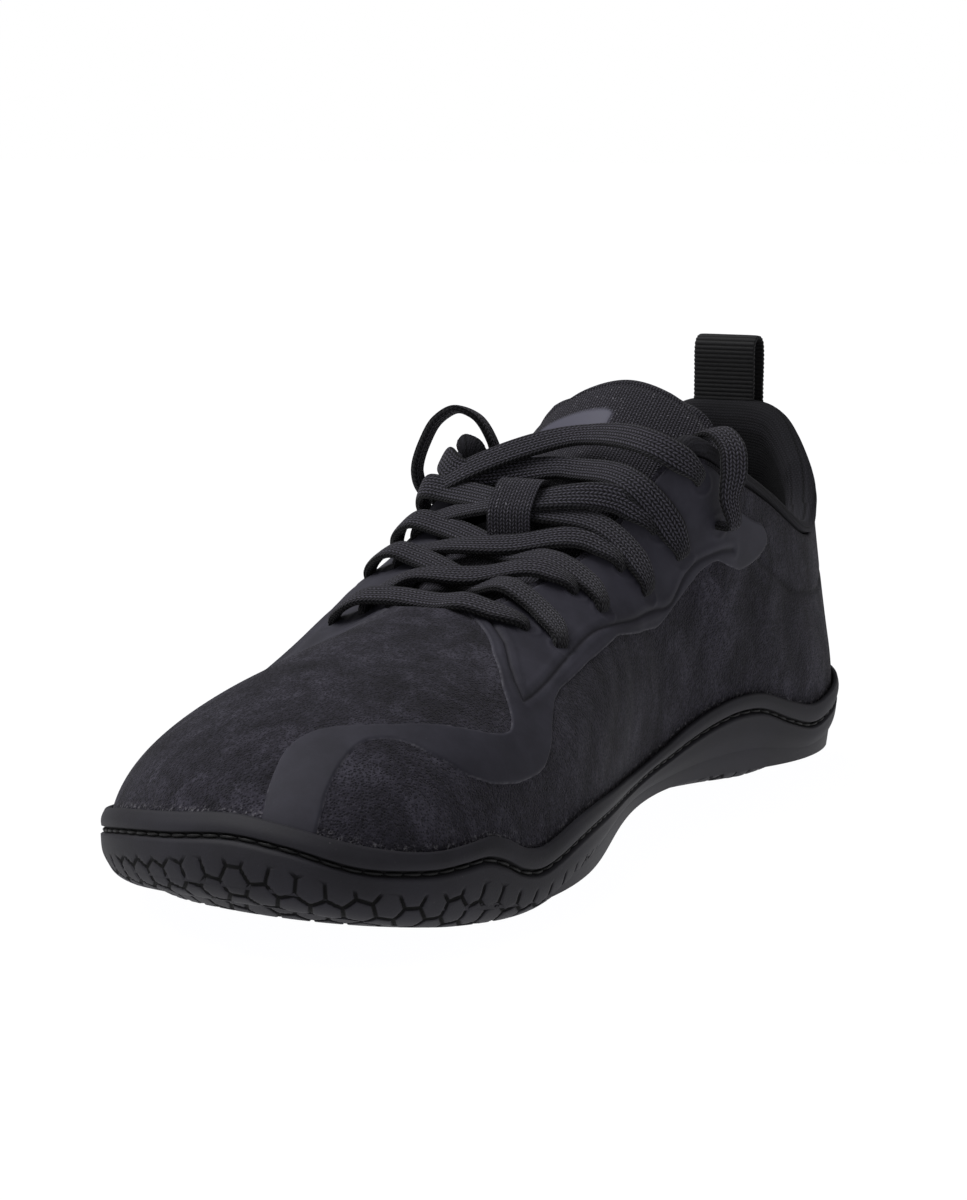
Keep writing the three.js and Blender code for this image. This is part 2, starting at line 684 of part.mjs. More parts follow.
function bar({ pair, row, edge, farPair, farRow, farEdge, along: x, height, tilt }) {
  const steps = 9;
  const sides = 6;
  const lift = 1.4;
  const leaning = THREE.MathUtils.degToRad(tilt);
  const end = ({ s, t }, overRib) => {
    const places = [[s, t, 0], [(s + overRib) / 2, (t + 1) / 2, lift / 2], [overRib, 1, lift]];
    const points = places.map(([at, up, over]) => skin(at, up, laceSeat + over));
    const flat = points[2].clone().sub(points[0]).cross(skinOut(places[1][0], places[1][1]));
    if (flat.x < 0) flat.negate();
    return { points, flat: flat.normalize() };
  };
  const start = end(eyeletAt(pair, row, 1), edge);
  const finish = end(eyeletAt(farPair, farRow, -1), ribCount - farEdge);
  const middle = new THREE.Vector3(x * shoeLength, tongueMiddle * ballWidth, height * instepHeight);
  const level = new THREE.Vector3(Math.cos(leaning), 0, -Math.sin(leaning));
  const route = [...start.points, middle, ...finish.points.reverse()];
  return band(route, [start.flat, level, finish.flat], steps, sides);
}

// All bars, joined where they cross.
function laces() {
  const joined = bars.map((entry) => solid(bar(entry))).reduce((left, right) => left.add(right));
  return joined.decompose().map(geometryOf);
}

// The lace's two free ends: each comes out of a top eyelet, over the collar and down inside.
// along and across are shares of the length and the ball width, height of the collar height.
const endInner = table(['along', 'across', 'height'], [
  [-0.1375, 0.382, 0.9], [-0.145, 0.383, 0.97], [-0.153, 0.367, 1.03], [-0.16, 0.324, 1.067],
  [-0.167, 0.274, 1.05], [-0.172, 0.244, 0.97], [-0.175, 0.232, 0.86],
]);
const endOuter = table(['along', 'across', 'height'], [
  [-0.121, -0.436, 0.92], [-0.118, -0.41, 1.01], [-0.123, -0.38, 1.075], [-0.13, -0.343, 1.103],
  [-0.136, -0.296, 1.085], [-0.14, -0.257, 1.02], [-0.142, -0.239, 0.92], [-0.143, -0.236, 0.8],
]);

function laceEnd(rows, side, width) {
  const steps = 16;
  const sides = 6;
  const wide = new THREE.Vector3(1, 0, 0.2);
  const { s, t } = eyeletAt(5, 'out', side);
  const route = rows.map(({ along: x, across: y, height }) => new THREE.Vector3(
    x * shoeLength,
    y * ballWidth,
    height * collarHeight,
  ));
  route.unshift(skin(s, t, filmFace + clearance), skin(s, t, laceSeat + laceThickness));
  return band(route, [wide, wide, wide], steps, sides, width, laceThickness);
}

// A strap cut from a flat outline in the shoe's long section, as wide as given, about a middle.
function strap(outlinePoints, width, middleY) {
  const shape = new THREE.Shape(outlinePoints.map(([x, z]) => new THREE.Vector2(x, z)));
  const geometry = new THREE.ExtrudeGeometry(shape, { depth: width, bevelEnabled: false });
  geometry.rotateX(Math.PI / 2);
  geometry.translate(0, middleY + width / 2, 0);
  return geometry;
}

// Keeper: a short strap on the tongue that the upper crossing of the laces passes under. Its
// rows are shares of the length and of the instep height, from its front leg to its rear one.
const keeperArch = table(['along', 'height'], [
  [-0.0283, 1.308], [-0.0318, 1.33], [-0.0535, 1.402], [-0.0605, 1.392],
]);

function keeper() {
  const arch = keeperArch.map(({ along: x, height }) => [x * shoeLength, height * instepHeight]);
  const foot = ([x]) => [x, tongueTop(x - keeperThickness) + 2 * clearance];
  const inner = [foot(arch[0]), ...arch, foot(arch[arch.length - 1])];
  const outer = inner.map(([x, z], i) => {
    const [backX, backZ] = inner[Math.max(0, i - 1)];
    const [aheadX, aheadZ] = inner[Math.min(inner.length - 1, i + 1)];
    const length = Math.hypot(aheadX - backX, aheadZ - backZ);
    const stepX = ((aheadZ - backZ) / length) * keeperThickness;
    const stepZ = ((backX - aheadX) / length) * keeperThickness;
    return [x + stepX, z + stepZ];
  });
  return strap([...inner, ...outer.toReversed()], keeperWidth, tongueMiddle * ballWidth);
}

// Points on a half circle over a middle, from its front to its back.
function halfTurn(x, z, radius) {
  const turns = 7;
  return Array.from({ length: turns + 1 }, (_, i) => {
    const angle = (i * Math.PI) / turns;
    return [x + Math.cos(angle) * radius, z + Math.sin(angle) * radius];
  });
}

// A point over the edge of the upper, a rise along its rib and a step straight out of it.
function overEdge(s, up, out) {
  return rib(s).getPoint(1).addScaledVector(rib(s).getTangent(1), up).addScaledVector(skinOut(s, 1), out);
}

// Pull loop: one strap of webbing that stands on the heel's rim and runs down behind it.
function pullLoop() {
  const heel = ribCount / 2;
  const rim = rimHeight * rimRise(heel);
  const behindRim = overEdge(heel, rim * 0.35, rimBulge + clearance);
  const overRim = overEdge(heel, rim, rimBulge);
  const seatRise = 1 - loopSeat / rib(heel).getLength();
  const radius = loopGap / 2;
  const arcZ = overRim.z + loopHeight - radius - webbingThickness;
  const middleX = behindRim.x + radius;
  const frontZ = overRim.z + clearance;
  const back = [behindRim, skin(heel, 0.97, clearance), skin(heel, seatRise, clearance)]
    .map((point) => [point.x, point.z]);
  const backOuter = back.map(([x, z]) => [x - webbingThickness, z]);
  return strap([
    [middleX + radius + webbingThickness, frontZ],
    ...halfTurn(middleX, arcZ, radius + webbingThickness),
    ...backOuter,
    ...back.toReversed(),
    ...halfTurn(middleX, arcZ, radius).toReversed(),
    [middleX + radius, frontZ],
  ], webbingWidth, 0);
}

function finish(color, roughness) {
  return new THREE.MeshStandardMaterial({ color, roughness, metalness: 0 });
}

const rubber = finish('#242427', 0.62);
const nubuck = finish('#232226', 0.92);
const lining = finish('#151517', 0.95);

const shoe = new THREE.Group();

function add(name, geometry, material) {
  const mesh = new THREE.Mesh(geometry, material);
  mesh.name = name;
  shoe.add(mesh);
}

const filmFinish = finish('#2c2c30', 0.5);
const knit = finish('#2b2a30', 0.95);
const cord = finish('#1b1b1e', 0.85);

add('outsole', outsole(), rubber);
add('insole', insole(), lining);
add('upper', pierced(solid(wallForm(-upperWall, 0))), nubuck);
add('film_inner', film(filmInner, 1), filmFinish);
add('film_outer', film(filmOuter, -1), filmFinish);
add('collar', collar(), lining);
add('tongue', plate(tongueGrid(), tongueThickness), knit);
laces().forEach((geometry, i) => add(`laces_${i + 1}`, geometry, cord));
add('tongue_keeper', keeper(), knit);
add('pull_loop', pullLoop(), cord);
add('lace_end_inner', laceEnd(endInner, 1, laceWidth), cord);
add('lace_end_outer', laceEnd(endOuter, -1, bunchedWidth), cord);

// The shoe stands over its origin, with the free lace ends left out of the count.
const bounds = new THREE.Box3();
for (const piece of shoe.children) {
  if (!piece.name.startsWith('lace_end')) bounds.expandByObject(piece);
}
const middle = bounds.getCenter(new THREE.Vector3());
shoe.position.set(-middle.x, -middle.y, -bounds.min.z);

export default shoe;
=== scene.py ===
"""A low lace-up sneaker for the right foot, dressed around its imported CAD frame.

+X points to the toe, +Y to the big-toe side and +Z up; every length is in metres.
"""
import sys
import logging
import math
from dataclasses import dataclass, field
from enum import Enum
from typing import Callable, Mapping, Sequence

import bpy
import numpy as np
from mathutils import Matrix, Vector


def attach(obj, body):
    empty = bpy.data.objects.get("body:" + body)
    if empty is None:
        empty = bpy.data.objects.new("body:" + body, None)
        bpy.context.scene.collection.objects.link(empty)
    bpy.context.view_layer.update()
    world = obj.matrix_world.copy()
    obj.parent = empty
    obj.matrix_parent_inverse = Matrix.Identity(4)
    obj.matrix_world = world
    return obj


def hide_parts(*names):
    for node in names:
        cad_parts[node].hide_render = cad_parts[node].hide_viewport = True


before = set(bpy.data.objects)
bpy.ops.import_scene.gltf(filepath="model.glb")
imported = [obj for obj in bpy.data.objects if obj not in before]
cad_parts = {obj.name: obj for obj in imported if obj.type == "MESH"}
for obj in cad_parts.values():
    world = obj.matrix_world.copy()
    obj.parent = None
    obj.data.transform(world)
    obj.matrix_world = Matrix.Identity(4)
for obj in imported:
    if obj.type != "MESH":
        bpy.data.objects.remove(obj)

Array = np.ndarray
LOG = logging.getLogger("sneaker")
MM = 0.001
# The last is drawn about the middle of its length, and the model stands over its origin.
CENTRING = np.array([0.7607, 2.0554, 0.0]) * MM
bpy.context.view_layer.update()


def smooth_ring(values: Array) -> Callable[[Array], Array]:
    """A closed cubic spline through one row of values at each rib.

    The second slopes solve: before + 4 * here + after = 6 * (before - 2 * here + after) of values.

    Args:
        values: one row for each rib.

    Returns:
        A function from rib places to rows of values.
    """
    count = len(values)
    eye = np.eye(count)
    near = np.roll(eye, 1, 0) + np.roll(eye, -1, 0)
    bend = np.linalg.solve(4 * eye + near, 6 * (near - 2 * eye) @ values)

    def at(s: Array) -> Array:
        place = np.mod(s, count)
        i = np.floor(place).astype(int) % count
        j = (i + 1) % count
        u = (place - np.floor(place))[..., None]
        v = 1 - u
        cubic = (v**3 - v) * bend[i] + (u**3 - u) * bend[j]
        return values[i] * v + values[j] * u + cubic / 6

    return at


def smooth_rows(rows: Sequence[Sequence[float]], period: float = 0.0) -> Callable[[Array], Array]:
    """A smooth curve through rows that lie unevenly: a cubic Hermite curve with three-point slopes.

    Args:
        rows: the key and then the values of each row.
        period: the length after which the curve closes, or 0 for a curve with two ends.

    Returns:
        A function from keys to rows of values.
    """
    table = np.asarray(rows, float)
    keys, values = table[:, 0], table[:, 1:]
    if period:
        keys = np.concatenate([[keys[-1] - period], keys, keys[:2] + period])
        values = np.concatenate([values[-1:], values, values[:2]])
    gaps = np.diff(keys)[:, None]
    rates = np.diff(values, axis=0) / gaps
    slopes = np.empty_like(values)
    slopes[0], slopes[-1] = rates[0], rates[-1]
    slopes[1:-1] = (rates[:-1] * gaps[1:] + rates[1:] * gaps[:-1]) / (gaps[:-1] + gaps[1:])

    def at(s: Array) -> Array:
        place = np.asarray(s, float)
        if period:
            place = np.mod(place - keys[1], period) + keys[1]
        place = np.clip(place, keys[0], keys[-1])
        i = np.clip(np.searchsorted(keys, place, side="right") - 1, 0, len(keys) - 2)
        span = gaps[i]
        u = (place - keys[i])[..., None] / span
        return (
            values[i] * (2 * u**3 - 3 * u**2 + 1)
            + slopes[i] * span * (u**3 - 2 * u**2 + u)
            + values[i + 1] * (3 * u**2 - 2 * u**3)
            + slopes[i + 1] * span * (u**3 - u**2)
        )

    return at


def smooth_path(points: Array, shares: Array, closed: bool = False) -> Array:
    """A smooth curve through points, keyed by the distance between them.

    Args:
        points: the points in order, with any further axes between the first and the last.
        shares: places on the curve, from 0 at its start to 1 at its end.
        closed: whether the curve runs back to its first point.

    Returns:
        The points at those shares, on a new first axis.
    """
    ends = np.concatenate([points, points[:1]]) if closed else points
    steps = np.linalg.norm(np.diff(ends, axis=0), axis=-1)
    while steps.ndim > 1:
        steps = steps.mean(axis=-1)
    keys = np.concatenate([[0], np.cumsum(np.maximum(steps, 1e-9))])
    keys = keys / keys[-1]
    flat = ends.reshape(len(ends), -1)
    if closed:
        curve = smooth_rows(np.column_stack([keys[:-1], flat[:-1]]), 1.0)
    else:
        curve = smooth_rows(np.column_stack([keys, flat]))
    return curve(np.asarray(shares)).reshape(len(shares), *points.shape[1:])


def smooth_step(low: float, high: float, value: Array) -> Array:
    """A soft step: 0 below low, 1 above high and 3u^2 - 2u^3 between them."""
    u = np.clip((value - low) / (high - low), 0, 1)
    return u * u * (3 - 2 * u)


def unit(vectors: Array) -> Array:
    """Vectors brought to length 1."""
    return vectors / np.maximum(np.linalg.norm(vectors, axis=-1, keepdims=True), 1e-12)


def lengths(points: Array, axis: int = 0) -> Array:
    """The distance run along one axis of a row or a grid of points, from 0 at its start."""
    steps = np.linalg.norm(np.diff(points, axis=axis), axis=-1)
    return np.concatenate([np.zeros_like(steps.take([0], axis)), np.cumsum(steps, axis)], axis)


def nearest(points: Array, line: Array, block: int = 4000) -> Array:
    """The distance from each point to the nearest stretch of a line of points.

    Args:
        points: the points, with the coordinates on the last axis.
        line: the corners of the line, in order.
        block: how many points are worked out at once.

    Returns:
        One distance for each point.
    """
    start, way = line[:-1], np.diff(line, axis=0)
    square = np.maximum((way**2).sum(-1), 1e-18)
    flat = points.reshape(-1, points.shape[-1])
    found = np.empty(len(flat))
    for first in range(0, len(flat), block):
        gap = flat[first:first + block, None] - start
        share = np.clip((gap * way).sum(-1) / square, 0, 1)
        found[first:first + block] = np.linalg.norm(gap - share[..., None] * way, axis=-1).min(1)
    return found.reshape(points.shape[:-1])


def within(points: Array, loop: Array) -> Array:
    """Whether each flat point lies inside a closed loop, by counting the edges to its right."""
    x, y = points[..., 0], points[..., 1]
    inside = np.zeros(x.shape, bool)
    for (ax, ay), (bx, by) in zip(loop, np.roll(loop, -1, axis=0)):
        if ay == by:
            continue
        crosses = (ay > y) != (by > y)
        inside ^= crosses & (x < (bx - ax) * (y - ay) / (by - ay) + ax)
    return inside


def rounded_loop(corners: Array, pitch: float, softness: float) -> Array:
    """A closed loop drawn anew at an even pitch and with its corners softened by a bell filter."""
    ends = np.concatenate([corners, corners[:1]])
    keys = lengths(ends)
    places = np.linspace(0, keys[-1], max(8, round(keys[-1] / pitch)), endpoint=False)
    loop = np.column_stack([np.interp(places, keys, ends[:, k]) for k in range(ends.shape[1])])
    reach = np.fft.fftfreq(len(loop), pitch)
    bell = np.exp(-2 * (np.pi * reach * softness) ** 2)[:, None]
    return np.fft.ifft(np.fft.fft(loop, axis=0) * bell, axis=0).real


@dataclass
class Skin:
    """A mesh under construction: points, faces with four or more corners, and what they carry."""

    points: Array
    quads: Array
    uv: Array | None = None
    caps: list[Array] = field(default_factory=list)
    marks: dict[str, Array] = field(default_factory=dict)

    def volume(self) -> float:
        """Six times the volume inside the faces, from the signed volumes under each."""
        a, b, c, d = (self.points[self.quads[:, k]] for k in range(4))
        total = (a * np.cross(b, c)).sum() + (a * np.cross(c, d)).sum()
        for cap in self.caps:
            ring = self.points[cap]
            total += (ring[0] * np.cross(ring[1:-1], ring[2:])).sum()
        return float(total)

    def build(self, name: str, finishes: Sequence[bpy.types.Material]) -> bpy.types.Object:
        """Makes the object, with its faces turned outwards.

        Args:
            name: the piece's name.
            finishes: its materials.

        Returns:
            The new object.
        """
        quads, uv, caps = self.quads, self.uv, self.caps
        if self.volume() < 0:
            quads = quads[:, ::-1]
            uv = None if uv is None else uv[:, ::-1]
            caps = [cap[::-1] for cap in caps]
        corners = np.concatenate([quads.reshape(-1), *caps]).astype(np.int32)
        sizes = np.array([4] * len(quads) + [len(cap) for cap in caps], np.int32)
        mesh = bpy.data.meshes.new(name)
        mesh.vertices.add(len(self.points))
        mesh.vertices.foreach_set("co", (self.points + CENTRING).astype(np.float32).ravel())
        mesh.loops.add(len(corners))
        mesh.loops.foreach_set("vertex_index", corners)
        mesh.polygons.add(len(sizes))
        starts = np.concatenate([[0], np.cumsum(sizes)[:-1]]).astype(np.int32)
        mesh.polygons.foreach_set("loop_start", starts)
        mesh.polygons.foreach_set("use_smooth", np.ones(len(sizes), bool))
        if uv is not None:
            layer = mesh.uv_layers.new(name="Surface")
            rest = np.zeros((len(corners) - len(quads) * 4, 2))
            flat = np.concatenate([uv.reshape(-1, 2), rest])
            layer.data.foreach_set("uv", flat.astype(np.float32).ravel())
        for mark, values in self.marks.items():
            layer = mesh.attributes.new(mark, "FLOAT", "POINT")
            layer.data.foreach_set("value", values.astype(np.float32).ravel())
        mesh.update(calc_edges=True)
        mesh.validate()
        for finish in finishes:
            mesh.materials.append(finish)
        obj = bpy.data.objects.new(name, mesh)
        bpy.context.scene.collection.objects.link(obj)
        return obj


def weave(
    grid: Array,
    wrap_i: bool = False,
    wrap_j: bool = False,
    uv: Array | None = None,
    capped: bool = False,
    marks: Mapping[str, Array] | None = None,
) -> Skin:
    """Joins a grid of points into a skin.

    Args:
        grid: points in rows and columns.
        wrap_i: whether the last row joins the first.
        wrap_j: whether the last column joins the first.
        uv: the pattern's place at each corner, with one row or column more where the grid wraps.
        capped: whether the first and the last row are closed by a face.
        marks: named values for each point.

    Returns:
        The skin.
    """
    n, m = grid.shape[:2]
    cells = np.meshgrid(np.arange(n - (not wrap_i)), np.arange(m - (not wrap_j)), indexing="ij")
    i, j = (index.ravel() for index in cells)
    turn = [(i, j), (i + 1, j), (i + 1, j + 1), (i, j + 1)]
    quads = np.stack([(a % n) * m + b % m for a, b in turn], axis=1)
    places = None if uv is None else np.stack([uv[a, b] for a, b in turn], axis=1)
    caps = []
    if capped:
        caps = [np.arange(m)[::-1], (n - 1) * m + np.arange(m)]
    named = {name: values.reshape(-1) for name, values in (marks or {}).items()}
    return Skin(grid.reshape(-1, 3), quads, places, caps, named)


def joined(skins: Sequence[Skin]) -> Skin:
    """Puts several skins into one."""
    starts = np.cumsum([0] + [len(skin.points) for skin in skins[:-1]])
    names = skins[0].marks.keys()
    return Skin(
        np.concatenate([skin.points for skin in skins]),
        np.concatenate([skin.quads + start for skin, start in zip(skins, starts)]),
        None if skins[0].uv is None else np.concatenate([skin.uv for skin in skins]),
        [cap + start for skin, start in zip(skins, starts) for cap in skin.caps],
        {name: np.concatenate([skin.marks[name] for skin in skins]) for name in names},
    )


def grid_normals(grid: Array, wrap_i: bool, wrap_j: bool) -> Array:
    """Normals of a grid, from the cross product of the steps between its neighbours."""

    def step(axis: int, wrap: bool) -> Array:
        if wrap:
            return np.roll(grid, -1, axis) - np.roll(grid, 1, axis)
        return np.gradient(grid, axis=axis)

    return unit(np.cross(step(0, wrap_i), step(1, wrap_j)))


def closed(skin: Skin, columns: int, rows: int) -> Skin:
    """Joins each column of a woven ring with its pair across the shoe, at both middle lines."""
    column = np.arange(columns)
    pair = np.minimum(column, columns - 1 - column)
    index = np.arange(columns * rows).reshape(columns, rows)
    index[:, 0] = index[pair, 0]
    index[:, -1] = index[pair, -1]
    used, quads = np.unique(index.reshape(-1)[skin.quads], return_inverse=True)
    marks = {name: values[used] for name, values in skin.marks.items()}
    return Skin(skin.points[used], quads.reshape(-1, 4), skin.uv, [], marks)


def facing(normals: Array, way: Array) -> Array:
    """Normals, all of them turned round if they point against a way on the whole."""
    return -normals if (normals * way).sum() < 0 else normals


def slab(top: Array, under: Array, keep: Array, marks: Mapping[str, Array]) -> Skin:
    """A sheet of part of a grid, closed by its underside and by walls along its border.

    Args:
        top: the grid of the upper face.
        under: the grid of the underside.
        keep: whether each cell of the grid is kept.
        marks: named values for each grid point.

    Returns:
        The closed skin.
    """
    n, m = top.shape[:2]
    i, j = np.nonzero(keep)
    faces = np.stack([i * m + j, (i + 1) * m + j, (i + 1) * m + j + 1, i * m + j + 1], axis=1)
    edges = np.concatenate([faces[:, [k, (k + 1) % 4]] for k in range(4)])
    both = {tuple(edge) for edge in edges.tolist()}
    border = np.array([edge for edge in edges.tolist() if (edge[1], edge[0]) not in both])
    count = n * m
    walls = np.stack([border[:, 1], border[:, 0], border[:, 0] + count, border[:, 1] + count], axis=1)
    quads = np.concatenate([faces, faces[:, ::-1] + count, walls])
    used, quads = np.unique(quads, return_inverse=True)
    points = np.concatenate([top.reshape(-1, 3), under.reshape(-1, 3)])[used]
    named = {name: np.tile(values.reshape(-1), 2)[used] for name, values in marks.items()}
    return Skin(points, quads.reshape(-1, 4), None, [], named)


class Side(Enum):
    """The two sides of the shoe."""

    INNER = 1
    OUTER = -1


@dataclass
class Last:
    """The form that the shoe is built on: ribs round the foot, each a cubic Bezier curve."""

    length: float = 0.282
    ball: float = 0.105
    instep: float = 0.0605
    collar: float = 0.090
    sidewall: float = 0.018
    sole: float = 0.005
    lip: float = 0.0018
    clearance: float = 0.0003
    toe_spring: float = 0.0115
    spring_start: float = 0.255
    arch_lift: float = 0.0055
    waist_rise: float = 0.0032
    waist_middle: float = -0.09
    waist_reach: float = 0.27
    count: int = 20

    # along, across, rise, lean, reach and drop of each rib
    RIBS = np.array([
        [0.5, 0.115, 0.5, 0, 0.44, 0.165], [0.45, 0.37, 0.5, 0, 0.38, 0.165],
        [0.347, 0.467, 0.5, 0.01, 0.305, 0.2], [0.227, 0.481, 0.5, 0.01, 0.23, 0.2],
        [0.11, 0.41, 0.53, 0.03, 0.19, 0.165], [-0.011, 0.315, 0.56, 0.04, 0.15, 0.13],
        [-0.135, 0.285, 0.6, 0.04, 0.095, 0.265], [-0.259, 0.325, 0.5, 0.04, 0.03, 0.4],
        [-0.378, 0.36, 0.46, 0.04, 0.02, 0.4], [-0.473, 0.252, 0.43, 0.04, 0.03, 0.43],
        [-0.5, 0.02, 0.46, 0.03, 0.02, 0.46], [-0.468, -0.2, 0.43, 0.03, 0.02, 0.43],
        [-0.37, -0.325, 0.46, 0.03, 0.02, 0.4], [-0.252, -0.372, 0.53, 0.04, 0.05, 0.365],
        [-0.131, -0.4, 0.66, 0.05, 0.125, 0.13], [-0.011, -0.438, 0.66, 0.05, 0.22, 0.035],
        [0.11, -0.486, 0.6, 0.04, 0.23, 0.06], [0.227, -0.52, 0.5, 0.04, 0.175, 0.14],
        [0.347, -0.462, 0.5, 0.055, 0.205, 0.25], [0.45, -0.25, 0.53, 0.04, 0.315, 0.2],
    ])
    # rib, along, across and climb of the upper's edge
    OPENING = (
        (0, 0.142, -0.029, 0), (1, 0.137, 0.024, -0.005), (2, 0.121, 0.071, -0.015),
        (3, 0.085, 0.105, 0.035), (4, 0.028, 0.124, 0.135), (5, -0.035, 0.148, 0.29),
        (5.6, -0.074, 0.181, 0.525), (6, -0.094, 0.224, 0.797), (6.3, -0.106, 0.271, 1),
        (6.6, -0.131, 0.314, 1), (7, -0.177, 0.338, 0.8), (7.6, -0.252, 0.348, 0.51),
        (8.2, -0.333, 0.343, 0.17), (8.7, -0.379, 0.319, 0.15), (9.2, -0.418, 0.268, 0.48),
        (9.6, -0.445, 0.16, 0.82), (10, -0.453, 0, 0.87), (10.4, -0.445, -0.145, 0.81),
        (10.8, -0.418, -0.245, 0.43), (11.3, -0.379, -0.305, -0.017), (11.8, -0.333, -0.343, -0.017),
        (12.4, -0.252, -0.362, 0.407), (13, -0.177, -0.357, 0.73), (13.4, -0.131, -0.338, 0.93),
        (13.7, -0.106, -0.305, 0.93), (14, -0.094, -0.286, 0.797), (14.4, -0.074, -0.262, 0.54),
        (15, -0.035, -0.229, 0.32), (16, 0.028, -0.195, 0.15), (17, 0.085, -0.162, 0.017),
        (18, 0.121, -0.124, -0.035), (19, 0.137, -0.076, -0.017),
    )
    # rib and height of the sidewall's wavy top
    SIDEWALL = (
        (0, 1.08), (0.3, 1.02), (0.6, 0.95), (0.85, 0.91), (1.15, 0.9), (1.45, 0.94), (1.7, 1.03),
        (1.9, 1.1), (2.1, 1.06), (2.3, 0.96), (2.5, 0.93), (2.75, 1.01), (3.0, 1.09), (3.4, 1.14),
        (3.8, 1.13), (4.4, 1.07), (4.95, 1.02), (5.3, 1.05), (5.65, 1.14), (6.0, 1.29),
        (6.35, 1.43), (6.7, 1.52), (7.0, 1.5), (7.4, 1.27), (7.75, 1.12), (8.15, 1.2), (8.7, 1.36),
        (9.3, 1.42), (10, 1.25), (10.7, 1.28), (11.3, 1.34), (11.9, 1.2), (12.4, 1.15), (13, 1.32),
        (13.4, 1.35), (14, 1.2), (14.6, 1.06), (15.6, 1.1), (16.4, 1.0), (17, 0.88), (17.5, 0.97),
        (18, 0.95), (18.5, 0.96), (19, 1), (19.5, 1.03),
    )
    # rib, lift of the sole's lower edge, lift of its tread, and tuck
    LIFTS = (
        (0, 0, 0, 1.2), (2, 0.1, 0, 1.1), (2.8, 0.36, 0, 1.2), (3.4, 0.8, 0, 1.35),
        (4, 1.15, 0.05, 1.45), (4.6, 1.4, 0.2, 1.55), (5.2, 1.45, 0.4, 1.6), (6, 1.25, 0.5, 1.55),
        (6.7, 0.95, 0.3, 1.5), (7.4, 0.8, 0, 1.55), (8.3, 0.75, 0, 1.55), (9.2, 0.6, 0, 1.4),
        (10, 0.5, 0, 1.2), (11, 0.3, 0, 1.1), (12, 0.12, 0, 1), (13, 0.05, 0, 1), (14, 0.05, 0, 1),
        (16, 0, 0, 1.1),
        (17.4, 0, 0, 1.35), (18.3, 0, 0, 1.5),
    )

    def __post_init__(self) -> None:
        """Settles the splines through the tables."""
        self._ring = smooth_ring(self.RIBS)
        self._edge = smooth_rows(self.OPENING, self.count)
        self._wall = smooth_rows(self.SIDEWALL, self.count)
        self._lift = smooth_rows(self.LIFTS, self.count)

    def outline(self, s: Array) -> Array:
        """The sole's outline at a rib, on the floor."""
        row = self._ring(np.asarray(s, float))
        return np.stack([row[..., 0] * self.length, row[..., 1] * self.ball, row[..., 0] * 0], -1)

    def outward(self, s: Array) -> Array:
        """The level direction that points out of the outline."""
        way = self.outline(s + 0.01) - self.outline(s - 0.01)
        return unit(np.stack([way[..., 1], -way[..., 0], way[..., 0] * 0], -1))

    def spring(self, x: Array) -> Array:
        """Height of the underside over the floor: a power of the way from the spring's start."""
        start = self.spring_start * self.length
        return self.toe_spring * np.clip((x - start) / (self.length / 2 - start), 0, None) ** 1.6

    def bed(self, x: Array) -> Array:
        """Height of the cup's floor: the toe spring and a cosine arch at the waist."""
        away = np.minimum(1, np.abs(x / self.length - self.waist_middle) / self.waist_reach)
        return self.spring(x) + self.sole + self.waist_rise * np.cos(away * np.pi / 2) ** 2

    def sidewall_top(self, s: Array) -> Array:
        """Height of the sidewall's wavy top edge over the floor."""
        return self.spring(self.outline(s)[..., 0]) + self._wall(s)[..., 0] * self.sidewall

    def lifts(self, s: Array) -> tuple[Array, Array, Array]:
        """Lift of the lower edge, lift of the tread, and tuck of the lower edge."""
        row = self._lift(s)
        up = np.maximum(0, row) * self.arch_lift
        return up[..., 0], up[..., 1], row[..., 2]

    def handles(self, s: Array) -> list[Array]:
        """The four points of each rib's curve."""
        s = np.asarray(s, float)
        row, way, out, up = self._ring(s), self._edge(s), self.outward(s), np.array([0, 0, 1.0])
        ground = self.outline(s)
        foot = ground - out * self.lip + up * (self.bed(ground[..., 0]) + self.clearance)[..., None]
        belly = foot + out * (row[..., 3:4] * self.ball) + up * (row[..., 2:3] * self.instep)
        height = self.instep + way[..., 2] * (self.collar - self.instep)
        edge = np.stack([way[..., 0] * self.length, way[..., 1] * self.ball, height], -1)
        shoulder = edge + out * (row[..., 4:5] * self.ball) - up * (row[..., 5:6] * self.instep)
        return [foot, belly, shoulder, edge]

    def point(self, s: Array, t: Array) -> Array:
        """A point of the outer face: the Bezier sum of the rib's four handles."""
        s, t = np.broadcast_arrays(np.asarray(s, float), np.asarray(t, float))
        a, b, c, d = self.handles(s)
        t = t[..., None]
        return a * (1 - t) ** 3 + 3 * b * (1 - t) ** 2 * t + 3 * c * (1 - t) * t**2 + d * t**3

    def climb(self, s: Array, t: Array) -> Array:
        """The direction up a rib: the Bezier curve's slope at length 1."""
        s, t = np.broadcast_arrays(np.asarray(s, float), np.asarray(t, float))
        a, b, c, d = self.handles(s)
        t = t[..., None]
        return unit((b - a) * (1 - t) ** 2 + 2 * (c - b) * (1 - t) * t + (d - c) * t**2)

    def out(self, s: Array, t: Array) -> Array:
        """The direction straight out of the outer face: the step round the ribs times the way up."""
        way = self.point(np.asarray(s) + 0.01, t) - self.point(np.asarray(s) - 0.01, t)
        return unit(np.cross(way, self.climb(s, t)))

    def skin(self, s: Array, t: Array, offset: Array | float = 0.0) -> Array:
        """A point of the outer face moved straight out by an offset."""
        return self.point(s, t) + self.out(s, t) * np.asarray(offset)[..., None]

